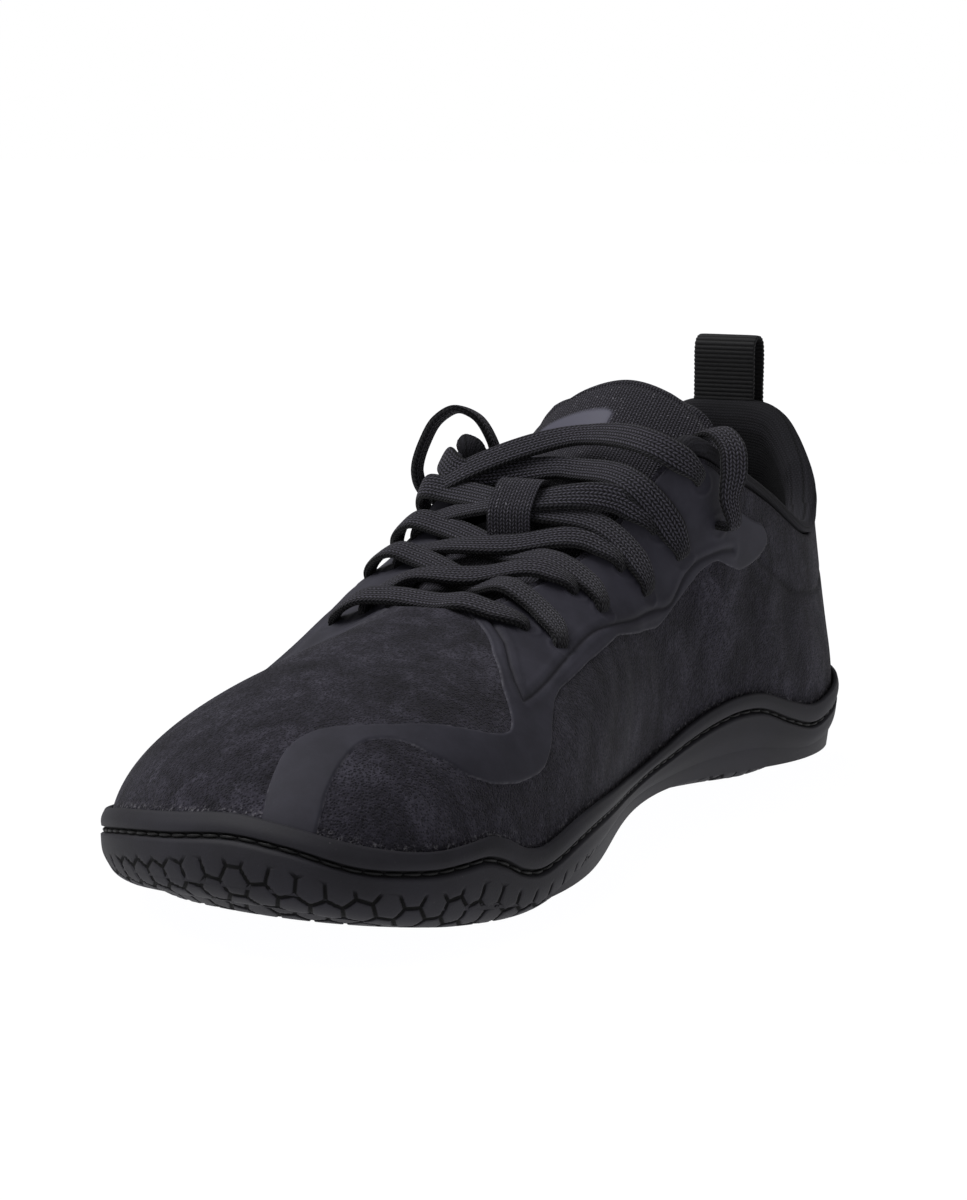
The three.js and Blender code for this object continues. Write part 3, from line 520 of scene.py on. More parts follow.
    def rise_to(self, s: Array, height: Array) -> Array:
        """How far up its rib the outer face reaches a height, found by halving."""
        a, b, c, d = (handle[..., 2] for handle in self.handles(s))
        low, high = np.zeros_like(height), np.full_like(height, 0.6)
        for _ in range(18):
            t = (low + high) / 2
            z = a * (1 - t) ** 3 + 3 * b * (1 - t) ** 2 * t + 3 * c * (1 - t) * t**2 + d * t**3
            below = z < height
            low, high = np.where(below, t, low), np.where(below, high, t)
        return (low + high) / 2

    def over_edge(self, s: float, up: float, out: float) -> Array:
        """A point over the upper's edge: a rise along the rib and a step straight out of it."""
        place = np.array(s, float)
        return self.point(place, 1.0) + self.climb(place, 1.0) * up + self.out(place, 1.0) * out


LAST = Last()
UPPER_WALL = 2 * MM
TONGUE_MIDDLE = -0.015

# pair, inner row's rib and rise, outer row's rib and rise
EYELETS = (
    (1, 2.72, 0.86, 3.1, 0.73), (2, 4.14, 0.87, 4.34, 0.73), (3, 5.17, 0.81, 5.37, 0.64),
    (4, 5.89, 0.82, 6.11, 0.66), (5, 6.54, 0.91, 6.66, 0.77),
)


class Row(Enum):
    """The two rows of eyelets down each side of the throat."""

    IN = 1
    OUT = 3


def eyelet(pair: int, row: Row, side: Side) -> tuple[float, float]:
    """The rib and the rise of an eyelet."""
    entry = EYELETS[pair - 1]
    place = entry[row.value]
    return (place if side is Side.INNER else LAST.count - place), entry[row.value + 1]


def eyelets(side: Side) -> list[tuple[float, float]]:
    """The ribs and rises of all the eyelets of one side."""
    return [eyelet(pair, row, side) for pair in range(1, 6) for row in Row]


Number = float | int


def math_node(operation: str, swapped: bool = False) -> Callable[..., "Wire"]:
    """A method of Wire that adds one Math node.

    Args:
        operation: what the node does.
        swapped: whether the wire itself is the second term.

    Returns:
        The method.
    """

    def method(wire: "Wire", *others: "Wire | Number") -> "Wire":
        return wire.dye.math(operation, *((*others, wire) if swapped else (wire, *others)))

    return method


class Wire:
    """A value inside a material; Python's operators add Math nodes."""

    def __init__(self, dye: "Dye", socket: bpy.types.NodeSocket) -> None:
        """Holds one output socket of a material."""
        self.dye = dye
        self.socket = socket

    __add__ = __radd__ = math_node("ADD")
    __sub__, __rsub__ = math_node("SUBTRACT"), math_node("SUBTRACT", swapped=True)
    __mul__ = __rmul__ = math_node("MULTIPLY")
    __truediv__ = math_node("DIVIDE")
    __mod__ = math_node("FLOORED_MODULO")
    __abs__ = math_node("ABSOLUTE")
    sin = math_node("SINE")
    least, most, below = math_node("MINIMUM"), math_node("MAXIMUM"), math_node("LESS_THAN")

    def step(self, low: float, high: float) -> "Wire":
        """A soft step from 0 at low to 1 at high."""
        settings = {"interpolation_type": "SMOOTHSTEP"}
        values = {"Value": self, "From Min": low, "From Max": high}
        return self.dye.wire(self.dye.node("ShaderNodeMapRange", settings, values), "Result")


Colour = tuple[float, float, float]


def tone(red: int, green: int, blue: int) -> Colour:
    """A colour given in screen steps from 0 to 255, made linear."""

    def linear(step: int) -> float:
        share = step / 255
        return share / 12.92 if share <= 0.04045 else ((share + 0.055) / 1.055) ** 2.4

    return linear(red), linear(green), linear(blue)


class Dye:
    """A material under construction."""

    def __init__(self, name: str) -> None:
        """Starts an empty material."""
        self.material = bpy.data.materials.new(name)
        self.material.use_nodes = True
        self.tree = self.material.node_tree
        self.tree.nodes.clear()

    def node(
        self,
        kind: str,
        settings: Mapping[str, object] | None = None,
        values: Mapping[object, object] | None = None,
    ) -> bpy.types.Node:
        """Adds one node.

        Args:
            kind: the node's type.
            settings: its properties, set before the inputs.
            values: a number, a colour or a wire for each named or numbered input.

        Returns:
            The node.
        """
        made = self.tree.nodes.new(kind)
        for key, value in (settings or {}).items():
            setattr(made, key, value)
        for key, value in (values or {}).items():
            socket = made.inputs[key]
            if isinstance(value, Wire):
                self.tree.links.new(value.socket, socket)
            elif isinstance(value, tuple) and len(value) == 3 and socket.type == "RGBA":
                socket.default_value = (*value, 1.0)
            else:
                socket.default_value = value
        return made

    def wire(self, node: bpy.types.Node, output: str | int = 0) -> Wire:
        """An output of a node as a value."""
        return Wire(self, node.outputs[output])

    def math(self, operation: str, *terms: Wire | Number) -> Wire:
        """One Math node."""
        return self.wire(self.node("ShaderNodeMath", {"operation": operation}, dict(enumerate(terms))))

    def place(self, scale: tuple[float, float, float] = (1, 1, 1)) -> Wire:
        """Object coordinates, scaled."""
        coordinates = self.wire(self.node("ShaderNodeTexCoord"), "Object")
        values = {"Vector": coordinates, "Scale": scale}
        return self.wire(self.node("ShaderNodeMapping", None, values))

    def surface(self) -> tuple[Wire, Wire]:
        """The two coordinates of the piece's own map."""
        flat = self.wire(self.node("ShaderNodeUVMap", {"uv_map": "Surface"}))
        split = self.node("ShaderNodeSeparateXYZ", None, {0: flat})
        return self.wire(split, 0), self.wire(split, 1)

    def mark(self, name: str) -> Wire:
        """A named value of the piece's points."""
        return self.wire(self.node("ShaderNodeAttribute", {"attribute_name": name}), "Fac")

    def noise(
        self, place: Wire, size: float, detail: float = 3, roughness: float = 0.55, warp: float = 0.0,
    ) -> Wire:
        """Cloudy noise with lumps of about a size, from 0 to 1."""
        values = {"Vector": place, "Scale": 1 / size, "Detail": detail}
        values.update({"Roughness": roughness, "Distortion": warp})
        return self.wire(self.node("ShaderNodeTexNoise", None, values), 0)

    def cells(self, place: Wire, size: float) -> Wire:
        """Distance to the nearest seed of a cell pattern, in cells."""
        values = {"Vector": place, "Scale": 1 / size}
        return self.wire(self.node("ShaderNodeTexVoronoi", {"feature": "F1"}, values), "Distance")

    def blend(self, share: Wire, first: "Colour | Wire", second: "Colour | Wire") -> Wire:
        """A mix of two colours."""
        values = {0: share, 6: first, 7: second}
        return self.wire(self.node("ShaderNodeMix", {"data_type": "RGBA"}, values), 2)

    def finish(
        self, colour: Wire, roughness: Wire, height: Wire, depth: float, **fixed: object,
    ) -> bpy.types.Material:
        """Ends the material with one surface shader.

        Args:
            colour: its base colour.
            roughness: its roughness.
            height: its relief, from 0 to 1.
            depth: the relief's full height in metres.
            fixed: constant values, named as the shader's sockets with _ for each space.

        Returns:
            The material.
        """
        bump = {"Strength": 1.0, "Distance": depth, "Height": height}
        relief = self.node("ShaderNodeBump", None, bump)
        values = {"Base Color": colour, "Roughness": roughness, "Normal": self.wire(relief)}
        values.update({name.replace("_", " "): value for name, value in fixed.items()})
        shader = self.node("ShaderNodeBsdfPrincipled", None, values)
        self.node("ShaderNodeOutputMaterial", None, {"Surface": self.wire(shader)})
        return self.material


@dataclass(frozen=True)
class Nubuck:
    """Brushed dark leather: a mottled nap, fine grain with painted shade in its pits and a painted
    highlight on its raised tops, painted shade in the creases, and dust along the sole.
    """

    name: str = "nubuck"
    deep: Colour = tone(16, 15, 20)
    pale: Colour = tone(47, 45, 55)
    dust: Colour = tone(112, 110, 114)

    def dye(self) -> bpy.types.Material:
        """Makes the material."""
        dye = Dye(self.name)
        body = dye.place()
        clouds = dye.noise(dye.place((1.0, 1.0, 0.6)), 11 * MM, 5, 0.62, 0.8)
        blotches = dye.noise(dye.place((1.0, 1.0, 0.8)), 3.6 * MM, 4, 0.6, 0.4)
        nap = dye.noise(body, 1.1 * MM, 3, 0.75)
        pebbles = dye.cells(body, 0.62 * MM).step(0.12, 0.62)
        brushed = dye.noise(dye.place((1.0, 1.0, 0.85)), 5.5 * MM, 6, 0.7, 2.2)
        shade = clouds * 0.46 + blotches * 0.1 + brushed * 0.1 + nap * 0.34
        colour = dye.blend(shade.step(0.32, 0.68), self.deep, self.pale)
        # painted shade in the pits between the grain's raised pebbles
        colour = dye.blend(pebbles.step(0.6, 0.05) * 0.55, colour, tone(6, 6, 8))
        # painted highlight on the grain's raised tops, in cloudy patches
        painted_grain_highlight = pebbles.step(0.5, 1.0) * (nap * 0.4 + clouds * 0.6).step(0.48, 0.66)
        colour = dye.blend(painted_grain_highlight * 0.22, colour, tone(84, 82, 92))
        # painted shade in the creases' troughs, and darker along the heel panel's seam
        colour = dye.blend(dye.mark("crease_shade_and_seam") * 0.4, colour, self.deep)
        spots = dye.cells(body, 1.7 * MM).step(0.13, 0.05)
        flecks = spots * dye.noise(body, 9 * MM).step(0.66, 0.82) * 0.3
        low = dye.mark("low")
        rim = low.step(1.5, 0.1) * dye.noise(body, 1.1 * MM, 4, 0.7).step(0.5, 0.66)
        dusting = low.step(6, 0) * dye.noise(body, 4 * MM, 5, 0.7).step(0.56, 0.8) * 0.16
        colour = dye.blend((flecks + rim * 0.55 + dusting).least(0.8), colour, self.dust)
        inside = dye.mark("inside")
        colour = dye.blend(inside, colour, tone(20, 20, 22))
        height = nap * 0.3 + pebbles * 0.34 + blotches * 0.1
        return dye.finish(
            colour, 0.95 - clouds * 0.16, height, 0.6 * MM,
            Specular_IOR_Level=0.14, Sheen_Weight=0.03, Sheen_Roughness=0.5,
        )


@dataclass(frozen=True)
class Film:
    """A smooth matt film with a faint satin."""

    name: str = "film"
    deep: Colour = tone(36, 35, 43)
    pale: Colour = tone(48, 47, 56)

    def dye(self) -> bpy.types.Material:
        """Makes the material."""
        dye = Dye(self.name)
        body = dye.place()
        clouds = dye.noise(body, 14 * MM, 4, 0.6)
        grain = dye.noise(body, 0.45 * MM, 3, 0.6)
        edge = dye.mark("edge")
        colour = dye.blend(clouds.step(0.3, 0.7), self.deep, self.pale)
        rim = edge.step(0.6, 0.15) * edge.step(-0.2, 0.1) * dye.noise(body, 1.4 * MM, 3).step(0.4, 0.65)
        colour = dye.blend(rim * 0.28, colour, tone(100, 99, 105))
        # painted shade along the embossed line's groove
        colour = dye.blend(dye.mark("line") * 0.6, colour, tone(16, 15, 19))
        spots = dye.cells(body, 2.3 * MM).step(0.1, 0.03)
        specks = spots * dye.noise(body, 12 * MM).step(0.6, 0.75) * 0.25
        colour = dye.blend(specks, colour, tone(110, 109, 112))
        roughness = 0.62 + clouds * 0.12 + grain * 0.06
        height = grain * 0.6 + clouds * 0.4
        return dye.finish(colour, roughness, height, 0.05 * MM, Specular_IOR_Level=0.19)


@dataclass(frozen=True)
class Rubber:
    """Matt moulded rubber, with the tread's fine cuts where the piece is marked for them."""

    name: str = "rubber"
    deep: Colour = tone(22, 21, 27)
    pale: Colour = tone(31, 30, 37)
    cell: float = 6.8 * MM
    cut: float = 0.41 * MM

    def tread(self, dye: Dye) -> Wire:
        """Distance to the nearest wall of a pattern of six-sided cells, in metres."""
        u, v = dye.surface()
        wide, high = self.cell, self.cell * math.sqrt(3)
        ax, ay = u % wide - wide / 2, v % high - high / 2
        bx, by = (u - wide / 2) % wide - wide / 2, (v - high / 2) % high - high / 2
        first = (ax * ax + ay * ay).below(bx * bx + by * by)
        gx = abs(first * ax + (1 - first) * bx)
        gy = abs(first * ay + (1 - first) * by)
        return self.cell / 2 - gx.most(gx * 0.5 + gy * (math.sqrt(3) / 2))

    def dye(self) -> bpy.types.Material:
        """Makes the material."""
        dye = Dye(self.name)
        body = dye.place()
        clouds = dye.noise(body, 17 * MM, 4, 0.6)
        grain = dye.noise(body, 0.4 * MM, 3, 0.6)
        cut = self.tread(dye).step(self.cut * 1.5, self.cut * 0.6) * dye.mark("tread")
        colour = dye.blend(clouds.step(0.3, 0.7), self.deep, self.pale)
        scuffs = dye.noise(dye.place((1, 1, 2.5)), 2.2 * MM, 5, 0.72).step(0.63, 0.8)
        specks = dye.cells(body, 2.6 * MM).step(0.11, 0.03) * dye.noise(body, 12 * MM).step(0.52, 0.7)
        colour = dye.blend((scuffs * 0.18 + specks * 0.3).least(0.6), colour, tone(96, 94, 96))
        groove = dye.mark("groove")
        # painted shade: near black in the tread's cuts and in the stitch groove
        colour = dye.blend((cut + groove * 0.9).least(1.0), colour, tone(2, 2, 3))
        roughness = (0.6 + clouds * 0.14 + grain * 0.06 + cut * 0.4 + groove * 0.3).least(1.0)
        height = grain * 0.12 + clouds * 0.05 - cut * 0.8 + 0.82
        return dye.finish(colour, roughness, height, 0.4 * MM, Specular_IOR_Level=0.26)


@dataclass(frozen=True)
class Knitted:
    """A knitted or braided yarn surface that follows the piece's own map.

    Each column of the fabric holds slanted stitches, and neighbouring columns slant to and fro.
    """

    name: str
    deep: Colour
    pale: Colour
    column: float = 0.9 * MM
    stitch: float = 1.1 * MM
    depth: float = 0.22 * MM
    flecks: float = 0.5
    fleck_tone: Colour = tone(104, 103, 108)
    slant: float = 0.9
    plain: float = 0.3
    sheen: float = 0.06

    def dye(self) -> bpy.types.Material:
        """Makes the material."""
        dye = Dye(self.name)
        body = dye.place()
        u, v = dye.surface()
        side = v / self.column
        within_column = side % 1.0
        to_and_fro = (side % 2.0).below(1.0) * 2 - 1
        across = within_column - 0.5
        run = (u / self.stitch + across * to_and_fro * self.slant) * (2 * math.pi)
        crown = (within_column * math.pi).sin()
        loops = run.sin() * 0.5 + 0.5
        yarn = crown * (loops * (1 - self.plain) + self.plain)
        stray = dye.noise(body, 0.8 * MM, 3, 0.7)
        colour = dye.blend((yarn * 0.75 + stray * 0.35).step(0.25, 0.8), self.deep, self.pale)
        heather = dye.noise(body, 1.1 * MM, 2, 0.6).step(0.56, 0.72) * yarn.step(0.35, 0.8)
        colour = dye.blend(heather * self.flecks, colour, self.fleck_tone)
        patch = dye.mark("patch")
        colour = dye.blend(patch, colour, tone(74, 73, 86))
        # painted shade: the shade mark darkens the laces' edges and their ends at the eyelets
        colour = dye.blend(dye.mark("shade") * 0.8, colour, tone(2, 2, 3))
        # painted highlight: the crest mark lightens the tops of the collar's fine ribs
        colour = dye.blend(dye.mark("crest") * 0.6, colour, tone(48, 47, 53))
        height = (yarn * 0.85 + stray * 0.15) * (1 - patch) + patch * 0.8
        return dye.finish(
            colour, 0.88 - patch * 0.38, height, self.depth,
            Specular_IOR_Level=0.14, Sheen_Weight=self.sheen, Sheen_Roughness=0.5,
        )


@dataclass(frozen=True)
class Grosgrain:
    """Ribbed webbing: close ribs across it, each bound by fine yarns along it."""

    name: str = "webbing"
    pitch: float = 1.15 * MM

    def dye(self) -> bpy.types.Material:
        """Makes the material."""
        dye = Dye(self.name)
        body = dye.place()
        u, v = dye.surface()
        rib = abs((u * (math.pi / self.pitch)).sin())
        yarns = abs((v * (math.pi / (0.5 * MM))).sin())
        stray = dye.noise(body, 0.5 * MM, 3, 0.7)
        lit = (rib * 0.7 + yarns * 0.2 + stray * 0.2).step(0.25, 1.0)
        colour = dye.blend(lit, tone(1, 1, 2), tone(12, 12, 15))
        height = rib * 0.6 + yarns * 0.25 + stray * 0.15
        return dye.finish(colour, 0.72 + stray * 0.1, height, 0.2 * MM, Specular_IOR_Level=0.3)


@dataclass(frozen=True)
class Thread:
    """Waxed sewing thread."""

    name: str = "thread"

    def dye(self) -> bpy.types.Material:
        """Makes the material."""
        dye = Dye(self.name)
        body = dye.place()
        twist = dye.noise(body, 0.35 * MM, 2, 0.6)
        flecks = dye.noise(body, 3.4 * MM, 2).step(0.66, 0.74)
        colour = dye.blend(twist.step(0.3, 0.7), tone(1, 1, 2), tone(9, 9, 11))
        colour = dye.blend(flecks * 0.6, colour, tone(130, 128, 130))
        return dye.finish(colour, 0.46 + twist * 0.2, twist, 0.08 * MM, Specular_IOR_Level=0.24)


@dataclass(frozen=True)
class Ground:
    """The studio's pale floor."""

    name: str = "ground"

    def dye(self) -> bpy.types.Material:
        """Makes the material."""
        dye = Dye(self.name)
        haze = dye.noise(dye.place(), 0.6, 2)
        colour = dye.blend(haze, tone(50, 50, 52), tone(54, 54, 56))
        return dye.finish(
            colour, 0.9 + haze * 0.05, haze, 0.1 * MM,
            Specular_IOR_Level=0.0, Emission_Color=(0.99, 0.99, 1.0), Emission_Strength=1.0,
        )


def settle(obj: bpy.types.Object, slot: str, *nodes: str) -> bpy.types.Object:
    """Puts a finished piece on the shoe: it rides on the root and stands for its CAD nodes."""
    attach(obj, "root")
    if nodes:
        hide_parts(*nodes)
    LOG.info("%s: %d faces", obj.name, len(obj.data.polygons))
    return obj


def drill(obj: bpy.types.Object, *sides: Side) -> None:
    """Bores the eyelets of the given sides through a piece."""
    corners, radius, depth = 24, 2.3 * MM, 7 * MM
    turn = (np.arange(corners) * 2 * np.pi / corners)[:, None]
    bores = []
    for s, t in (place for side in sides for place in eyelets(side)):
        middle, axis = LAST.skin(s, t), LAST.out(s, t)
        first = unit(np.cross(axis, LAST.climb(s, t)))
        spokes = np.cos(turn) * first + np.sin(turn) * np.cross(axis, first)
        ends = [middle + spokes * radius + axis * reach for reach in (-depth, depth)]
        bores.append(weave(np.stack(ends), wrap_j=True, capped=True))
    cutter = joined(bores).build("eyelet_bores", [])
    cut = obj.modifiers.new("eyelets", "BOOLEAN")
    cut.operation, cut.solver, cut.object = "DIFFERENCE", "MANIFOLD", cutter
    graph = bpy.context.evaluated_depsgraph_get()
    shaped = bpy.data.meshes.new_from_object(obj.evaluated_get(graph))
    obj.modifiers.clear()
    obj.data = shaped
    bpy.data.objects.remove(cutter)
    shaped.set_sharp_from_angle(angle=math.radians(50))


@dataclass
class Relief:
    """Soft creases laid on the upper: each a line of ribs and rises, a depth and a width."""

    # depth and half width in millimetres; a depth below 0 is a ridge
    CREASES: tuple = (
        (0.55, 3.2, ((3.9, 0.22), (4.15, 0.36), (4.3, 0.5))),
        (0.45, 2.6, ((4.75, 0.2), (4.8, 0.34), (4.7, 0.47))),
        (-0.4, 3.4, ((4.42, 0.2), (4.5, 0.34), (4.5, 0.48))),
        (0.6, 3.4, ((5.5, 0.3), (5.35, 0.42), (5.2, 0.52))),
        (-0.5, 3.6, ((5.8, 0.3), (5.7, 0.44), (5.65, 0.54))),
        (0.65, 4.0, ((6.2, 0.34), (6.1, 0.46), (6.15, 0.57))),
        (-0.55, 4.2, ((6.6, 0.36), (6.55, 0.48), (6.6, 0.6))),
        (0.7, 4.4, ((7.0, 0.4), (6.95, 0.54), (7.1, 0.68))),
        (0.55, 4.2, ((7.6, 0.34), (7.55, 0.5), (7.75, 0.7))),
        (-0.5, 4.4, ((7.3, 0.36), (7.25, 0.52), (7.4, 0.66))),
        (0.5, 3.4, ((8.2, 0.3), (8.25, 0.45), (8.1, 0.62))),
        (0.55, 3.0, ((17.9, 0.5), (17.3, 0.6), (16.7, 0.64))),
        (0.45, 2.8, ((18.4, 0.56), (18.0, 0.66), (17.5, 0.72))),
        (-0.4, 3.2, ((18.15, 0.53), (17.6, 0.63), (17.1, 0.69))),
        (0.4, 2.6, ((18.9, 0.6), (18.6, 0.72), (18.2, 0.8))),
        (0.45, 3.0, ((16.2, 0.3), (15.9, 0.45), (15.9, 0.6))),
        (0.5, 3.6, ((15.0, 0.32), (14.8, 0.46), (14.9, 0.62))),
        (-0.4, 3.6, ((15.5, 0.32), (15.35, 0.48), (15.4, 0.6))),
        (0.55, 4.0, ((13.6, 0.36), (13.5, 0.52), (13.6, 0.66))),
        (0.5, 3.8, ((12.6, 0.32), (12.55, 0.5), (12.4, 0.68))),
        (0.35, 2.4, ((1.9, 0.42), (1.5, 0.5), (1.0, 0.56), (0.4, 0.6))),
        (0.3, 2.4, ((2.3, 0.22), (2.5, 0.3), (2.75, 0.42))),
        (0.35, 2.6, ((3.2, 0.2), (3.35, 0.32), (3.5, 0.46))),
    )
    # the heel panel's seam on each side, and its depth and half width in millimetres
    SEAM: tuple = (
        (7.24, 0.79), (7.3, 0.76), (7.41, 0.74), (7.66, 0.71), (7.8, 0.7), (8, 0.73), (8.25, 0.76),
        (8.6, 0.775), (9.2, 0.76), (10, 0.74),
    )
    SEAM_DEPTH: float = 0.5
    SEAM_WIDTH: float = 0.95
    # the share of the depths that is shown, and how far from a crease's middle it is worked out
    STRENGTH: float = 0.38
    REACH: float = 45 * MM

    def lines(self) -> list[tuple[float, float, Array]]:
        """The creases as depths, half widths and points on the last."""
        found = []
        for depth, width, rows in self.CREASES:
            path = smooth_path(np.array(rows), np.linspace(0, 1, 24))
            found.append((depth * MM, width * MM, LAST.point(path[:, 0], path[:, 1])))
        return found

    def seams(self) -> list[Array]:
        """The heel panel's seam on both sides."""
        path = smooth_path(np.array(self.SEAM), np.linspace(0, 1, 60))
        return [LAST.point(s, path[:, 1]) for s in (path[:, 0], LAST.count - path[:, 0])]

    def heights(self, points: Array) -> Array:
        """How far the creased skin stands off the last: a bell-shaped trough round each line.

        Args:
            points: points of the last.

        Returns:
            One height for each point.
        """
        total = np.zeros(points.shape[:-1])
        for depth, width, line in self.lines():
            close = (np.abs(points - line.mean(0)) < self.REACH).all(-1)
            away = nearest(points[close], line)
            total[close] -= depth * self.STRENGTH * np.exp(-((away / width) ** 2))
        return total


RELIEF = Relief()


def clothed(s: Array, t: Array, offset: Array | float = 0.0) -> Array:
    """A point of the creased upper, moved straight out by an offset."""
    base = LAST.point(s, t)
    return base + LAST.out(s, t) * (RELIEF.heights(base) + offset)[..., None]


@dataclass
class Outsole:
    """The rubber cup: floor, wavy sidewall, stitched groove, tucked belly and cut tread."""

    cup_gap: float = 0.45 * MM
    edge_round: float = 0.7 * MM
    band_bulge: float = 0.3 * MM
    stitch_width: float = 1.8 * MM
    stitch_depth: float = 1.1 * MM
    tuck: float = 7.5 * MM
    tread_inset: float = 16 * MM
    tread_depth: float = 0.45 * MM
    cell: float = 6.8 * MM
    stitch_pitch: float = 4.6 * MM
    stitch_length: float = 4.3 * MM
    stitch_radius: float = 0.38 * MM
    stitch_seat: float = 0.72 * MM
    stitch_dip: float = 0.45 * MM
    # points on half the rim, and down the cup's inside, its top, the band, the groove and the belly
    HALF, WALL, CREST, BAND, GROOVE, FLANK = 420, 3, 7, 7, 9, 33
    # rib and how far the stitches lie under the sidewall's top, in millimetres
    DROP = (
        (0, 4.4), (0.4, 4.3), (0.8, 4.8), (1.2, 4.3), (2, 4.6), (2.8, 5.2), (3.4, 4.6), (4.4, 3.9),
        (5.3, 3.4), (6, 4.5), (7, 5), (7.6, 5.8), (8.5, 5.3), (10, 5.2), (13, 5), (15, 4.4), (17, 4.6),
        (19, 4.6),
    )
    # the belly's section: height above the lower edge, and how far it tucks in, as shares
    BELLY = ((1.0, 0.0), (0.62, 0.04), (0.3, 0.2), (0.08, 0.54), (0.0, 1.0))
    # rib and how far the cuts climb the belly, as a share of its length
    CLIMB = (
        (0, 0.8), (1.5, 0.83), (2.4, 0.85), (3.4, 0.7), (4.2, 0.5), (4.8, 0.25), (5.4, 0), (10, 0),
        (14.6, 0), (15.2, 0.25), (15.8, 0.5), (16.6, 0.7), (17.4, 0.78), (18.5, 0.78),
    )

    def columns(self) -> Array:
        """Places round the ribs, close together at the forefoot and paired across the sole."""
        s = np.linspace(0, 10, 4001)
        rate = 1 / (0.55 + 0.75 * smooth_step(4.3, 6.2, s))
        total = np.concatenate([[0], np.cumsum((rate[1:] + rate[:-1]) / 2)])
        half = np.interp((np.arange(self.HALF) + 0.5) / self.HALF * total[-1], total, s)
        return np.concatenate([half, LAST.count - half[::-1]])

    def drop(self, s: Array) -> Array:
        """How far the stitches lie under the sidewall's top."""
        return smooth_rows(self.DROP, LAST.count)(s)[..., 0] * MM

    def beside(self, s: Array, height: Array, offset: Array) -> Array:
        """Points beside the upper at given heights and level offsets."""
        ground = LAST.bed(LAST.outline(s)[..., 0]) + LAST.clearance
        place = LAST.point(s, LAST.rise_to(s, np.maximum(height, ground)))
        moved = place + LAST.outward(s) * offset[..., None]
        moved[..., 2] = height
        return moved

    def profile(self, s: Array) -> tuple[Array, Array]:
        """Heights and offsets of the sidewall from the cup's floor, over its top, to its lower edge."""
        floor = LAST.bed(LAST.outline(s)[..., 0])[:, None]
        top = LAST.sidewall_top(s)[:, None]
        lift, _, tuck = LAST.lifts(s)
        base = (LAST.spring(LAST.outline(s)[..., 0]) + lift)[:, None]
        lip, one = LAST.lip, np.ones_like(top)
        u = np.linspace(0, 1, self.WALL + 1)[None, :-1]
        rows = [(floor + (top - self.edge_round - floor) * u, one * self.cup_gap * np.ones_like(u))]
        turn = np.linspace(0, np.pi, self.CREST + 1)[None, :-1]
        middle, half = (self.cup_gap + lip) / 2, (lip - self.cup_gap) / 2
        rows.append((top + self.edge_round * (np.sin(turn) - 1), one * middle - half * np.cos(turn)))
        drop = self.drop(s)[:, None]
        start, groove = drop - self.stitch_width / 2, drop + self.stitch_width / 2
        u = np.linspace(0, 1, self.BAND + 1)[None, :-1]
        bulge = self.band_bulge * np.sin(u * np.pi)
        rows.append((top - self.edge_round - (start - self.edge_round) * u, one * lip + bulge))
        u = np.linspace(0, 1, self.GROOVE + 1)[None, :-1]
        hollow = self.stitch_depth * (1 - np.abs(2 * u - 1) ** 3)
        rows.append((top - start - (groove - start) * u, one * lip - hollow))
        belly = smooth_path(np.array(self.BELLY), np.linspace(0, 1, self.FLANK))
        rows.append((
            base + (top - groove - base) * belly[None, :, 0],
            lip - belly[None, :, 1] * tuck[:, None] * self.tuck,
        ))
        return np.concatenate([row[0] for row in rows], 1), np.concatenate([row[1] for row in rows], 1)

    def underside(self, s: Array, edge: Array) -> Array:
        """Rows from the lower edge to the sole's middle line, with the tread's lift."""
        _, tread, _ = LAST.lifts(s)
        inset = LAST.outline(s) - LAST.outward(s) * self.tread_inset
        inset[:, 2] = LAST.spring(inset[:, 0]) + tread
        u = np.linspace(0, 1, 21)[None, 1:, None]
        near = edge[:, None] + (inset - edge)[:, None] * u
        near[..., 2] = edge[:, None, 2] + (inset - edge)[:, None, 2] * np.sin(u[..., 0] * np.pi / 2)
        u = np.linspace(0, 0.5, 24)[None, 1:, None]
        far = inset[:, None] + (inset[::-1] - inset)[:, None] * u
        return np.concatenate([near, far], 1)

    def hexes(self, flat: Array) -> Array:
        """Distance to the nearest wall of the six-sided cells, folded into one cell."""
        size = np.array([self.cell, self.cell * math.sqrt(3)])
        a = np.mod(flat, size) - size / 2
        b = np.mod(flat - size / 2, size) - size / 2
        g = np.abs(np.where(((a**2).sum(-1) < (b**2).sum(-1))[..., None], a, b))
        return self.cell / 2 - np.maximum(g[..., 0], g[..., 0] * 0.5 + g[..., 1] * (math.sqrt(3) / 2))

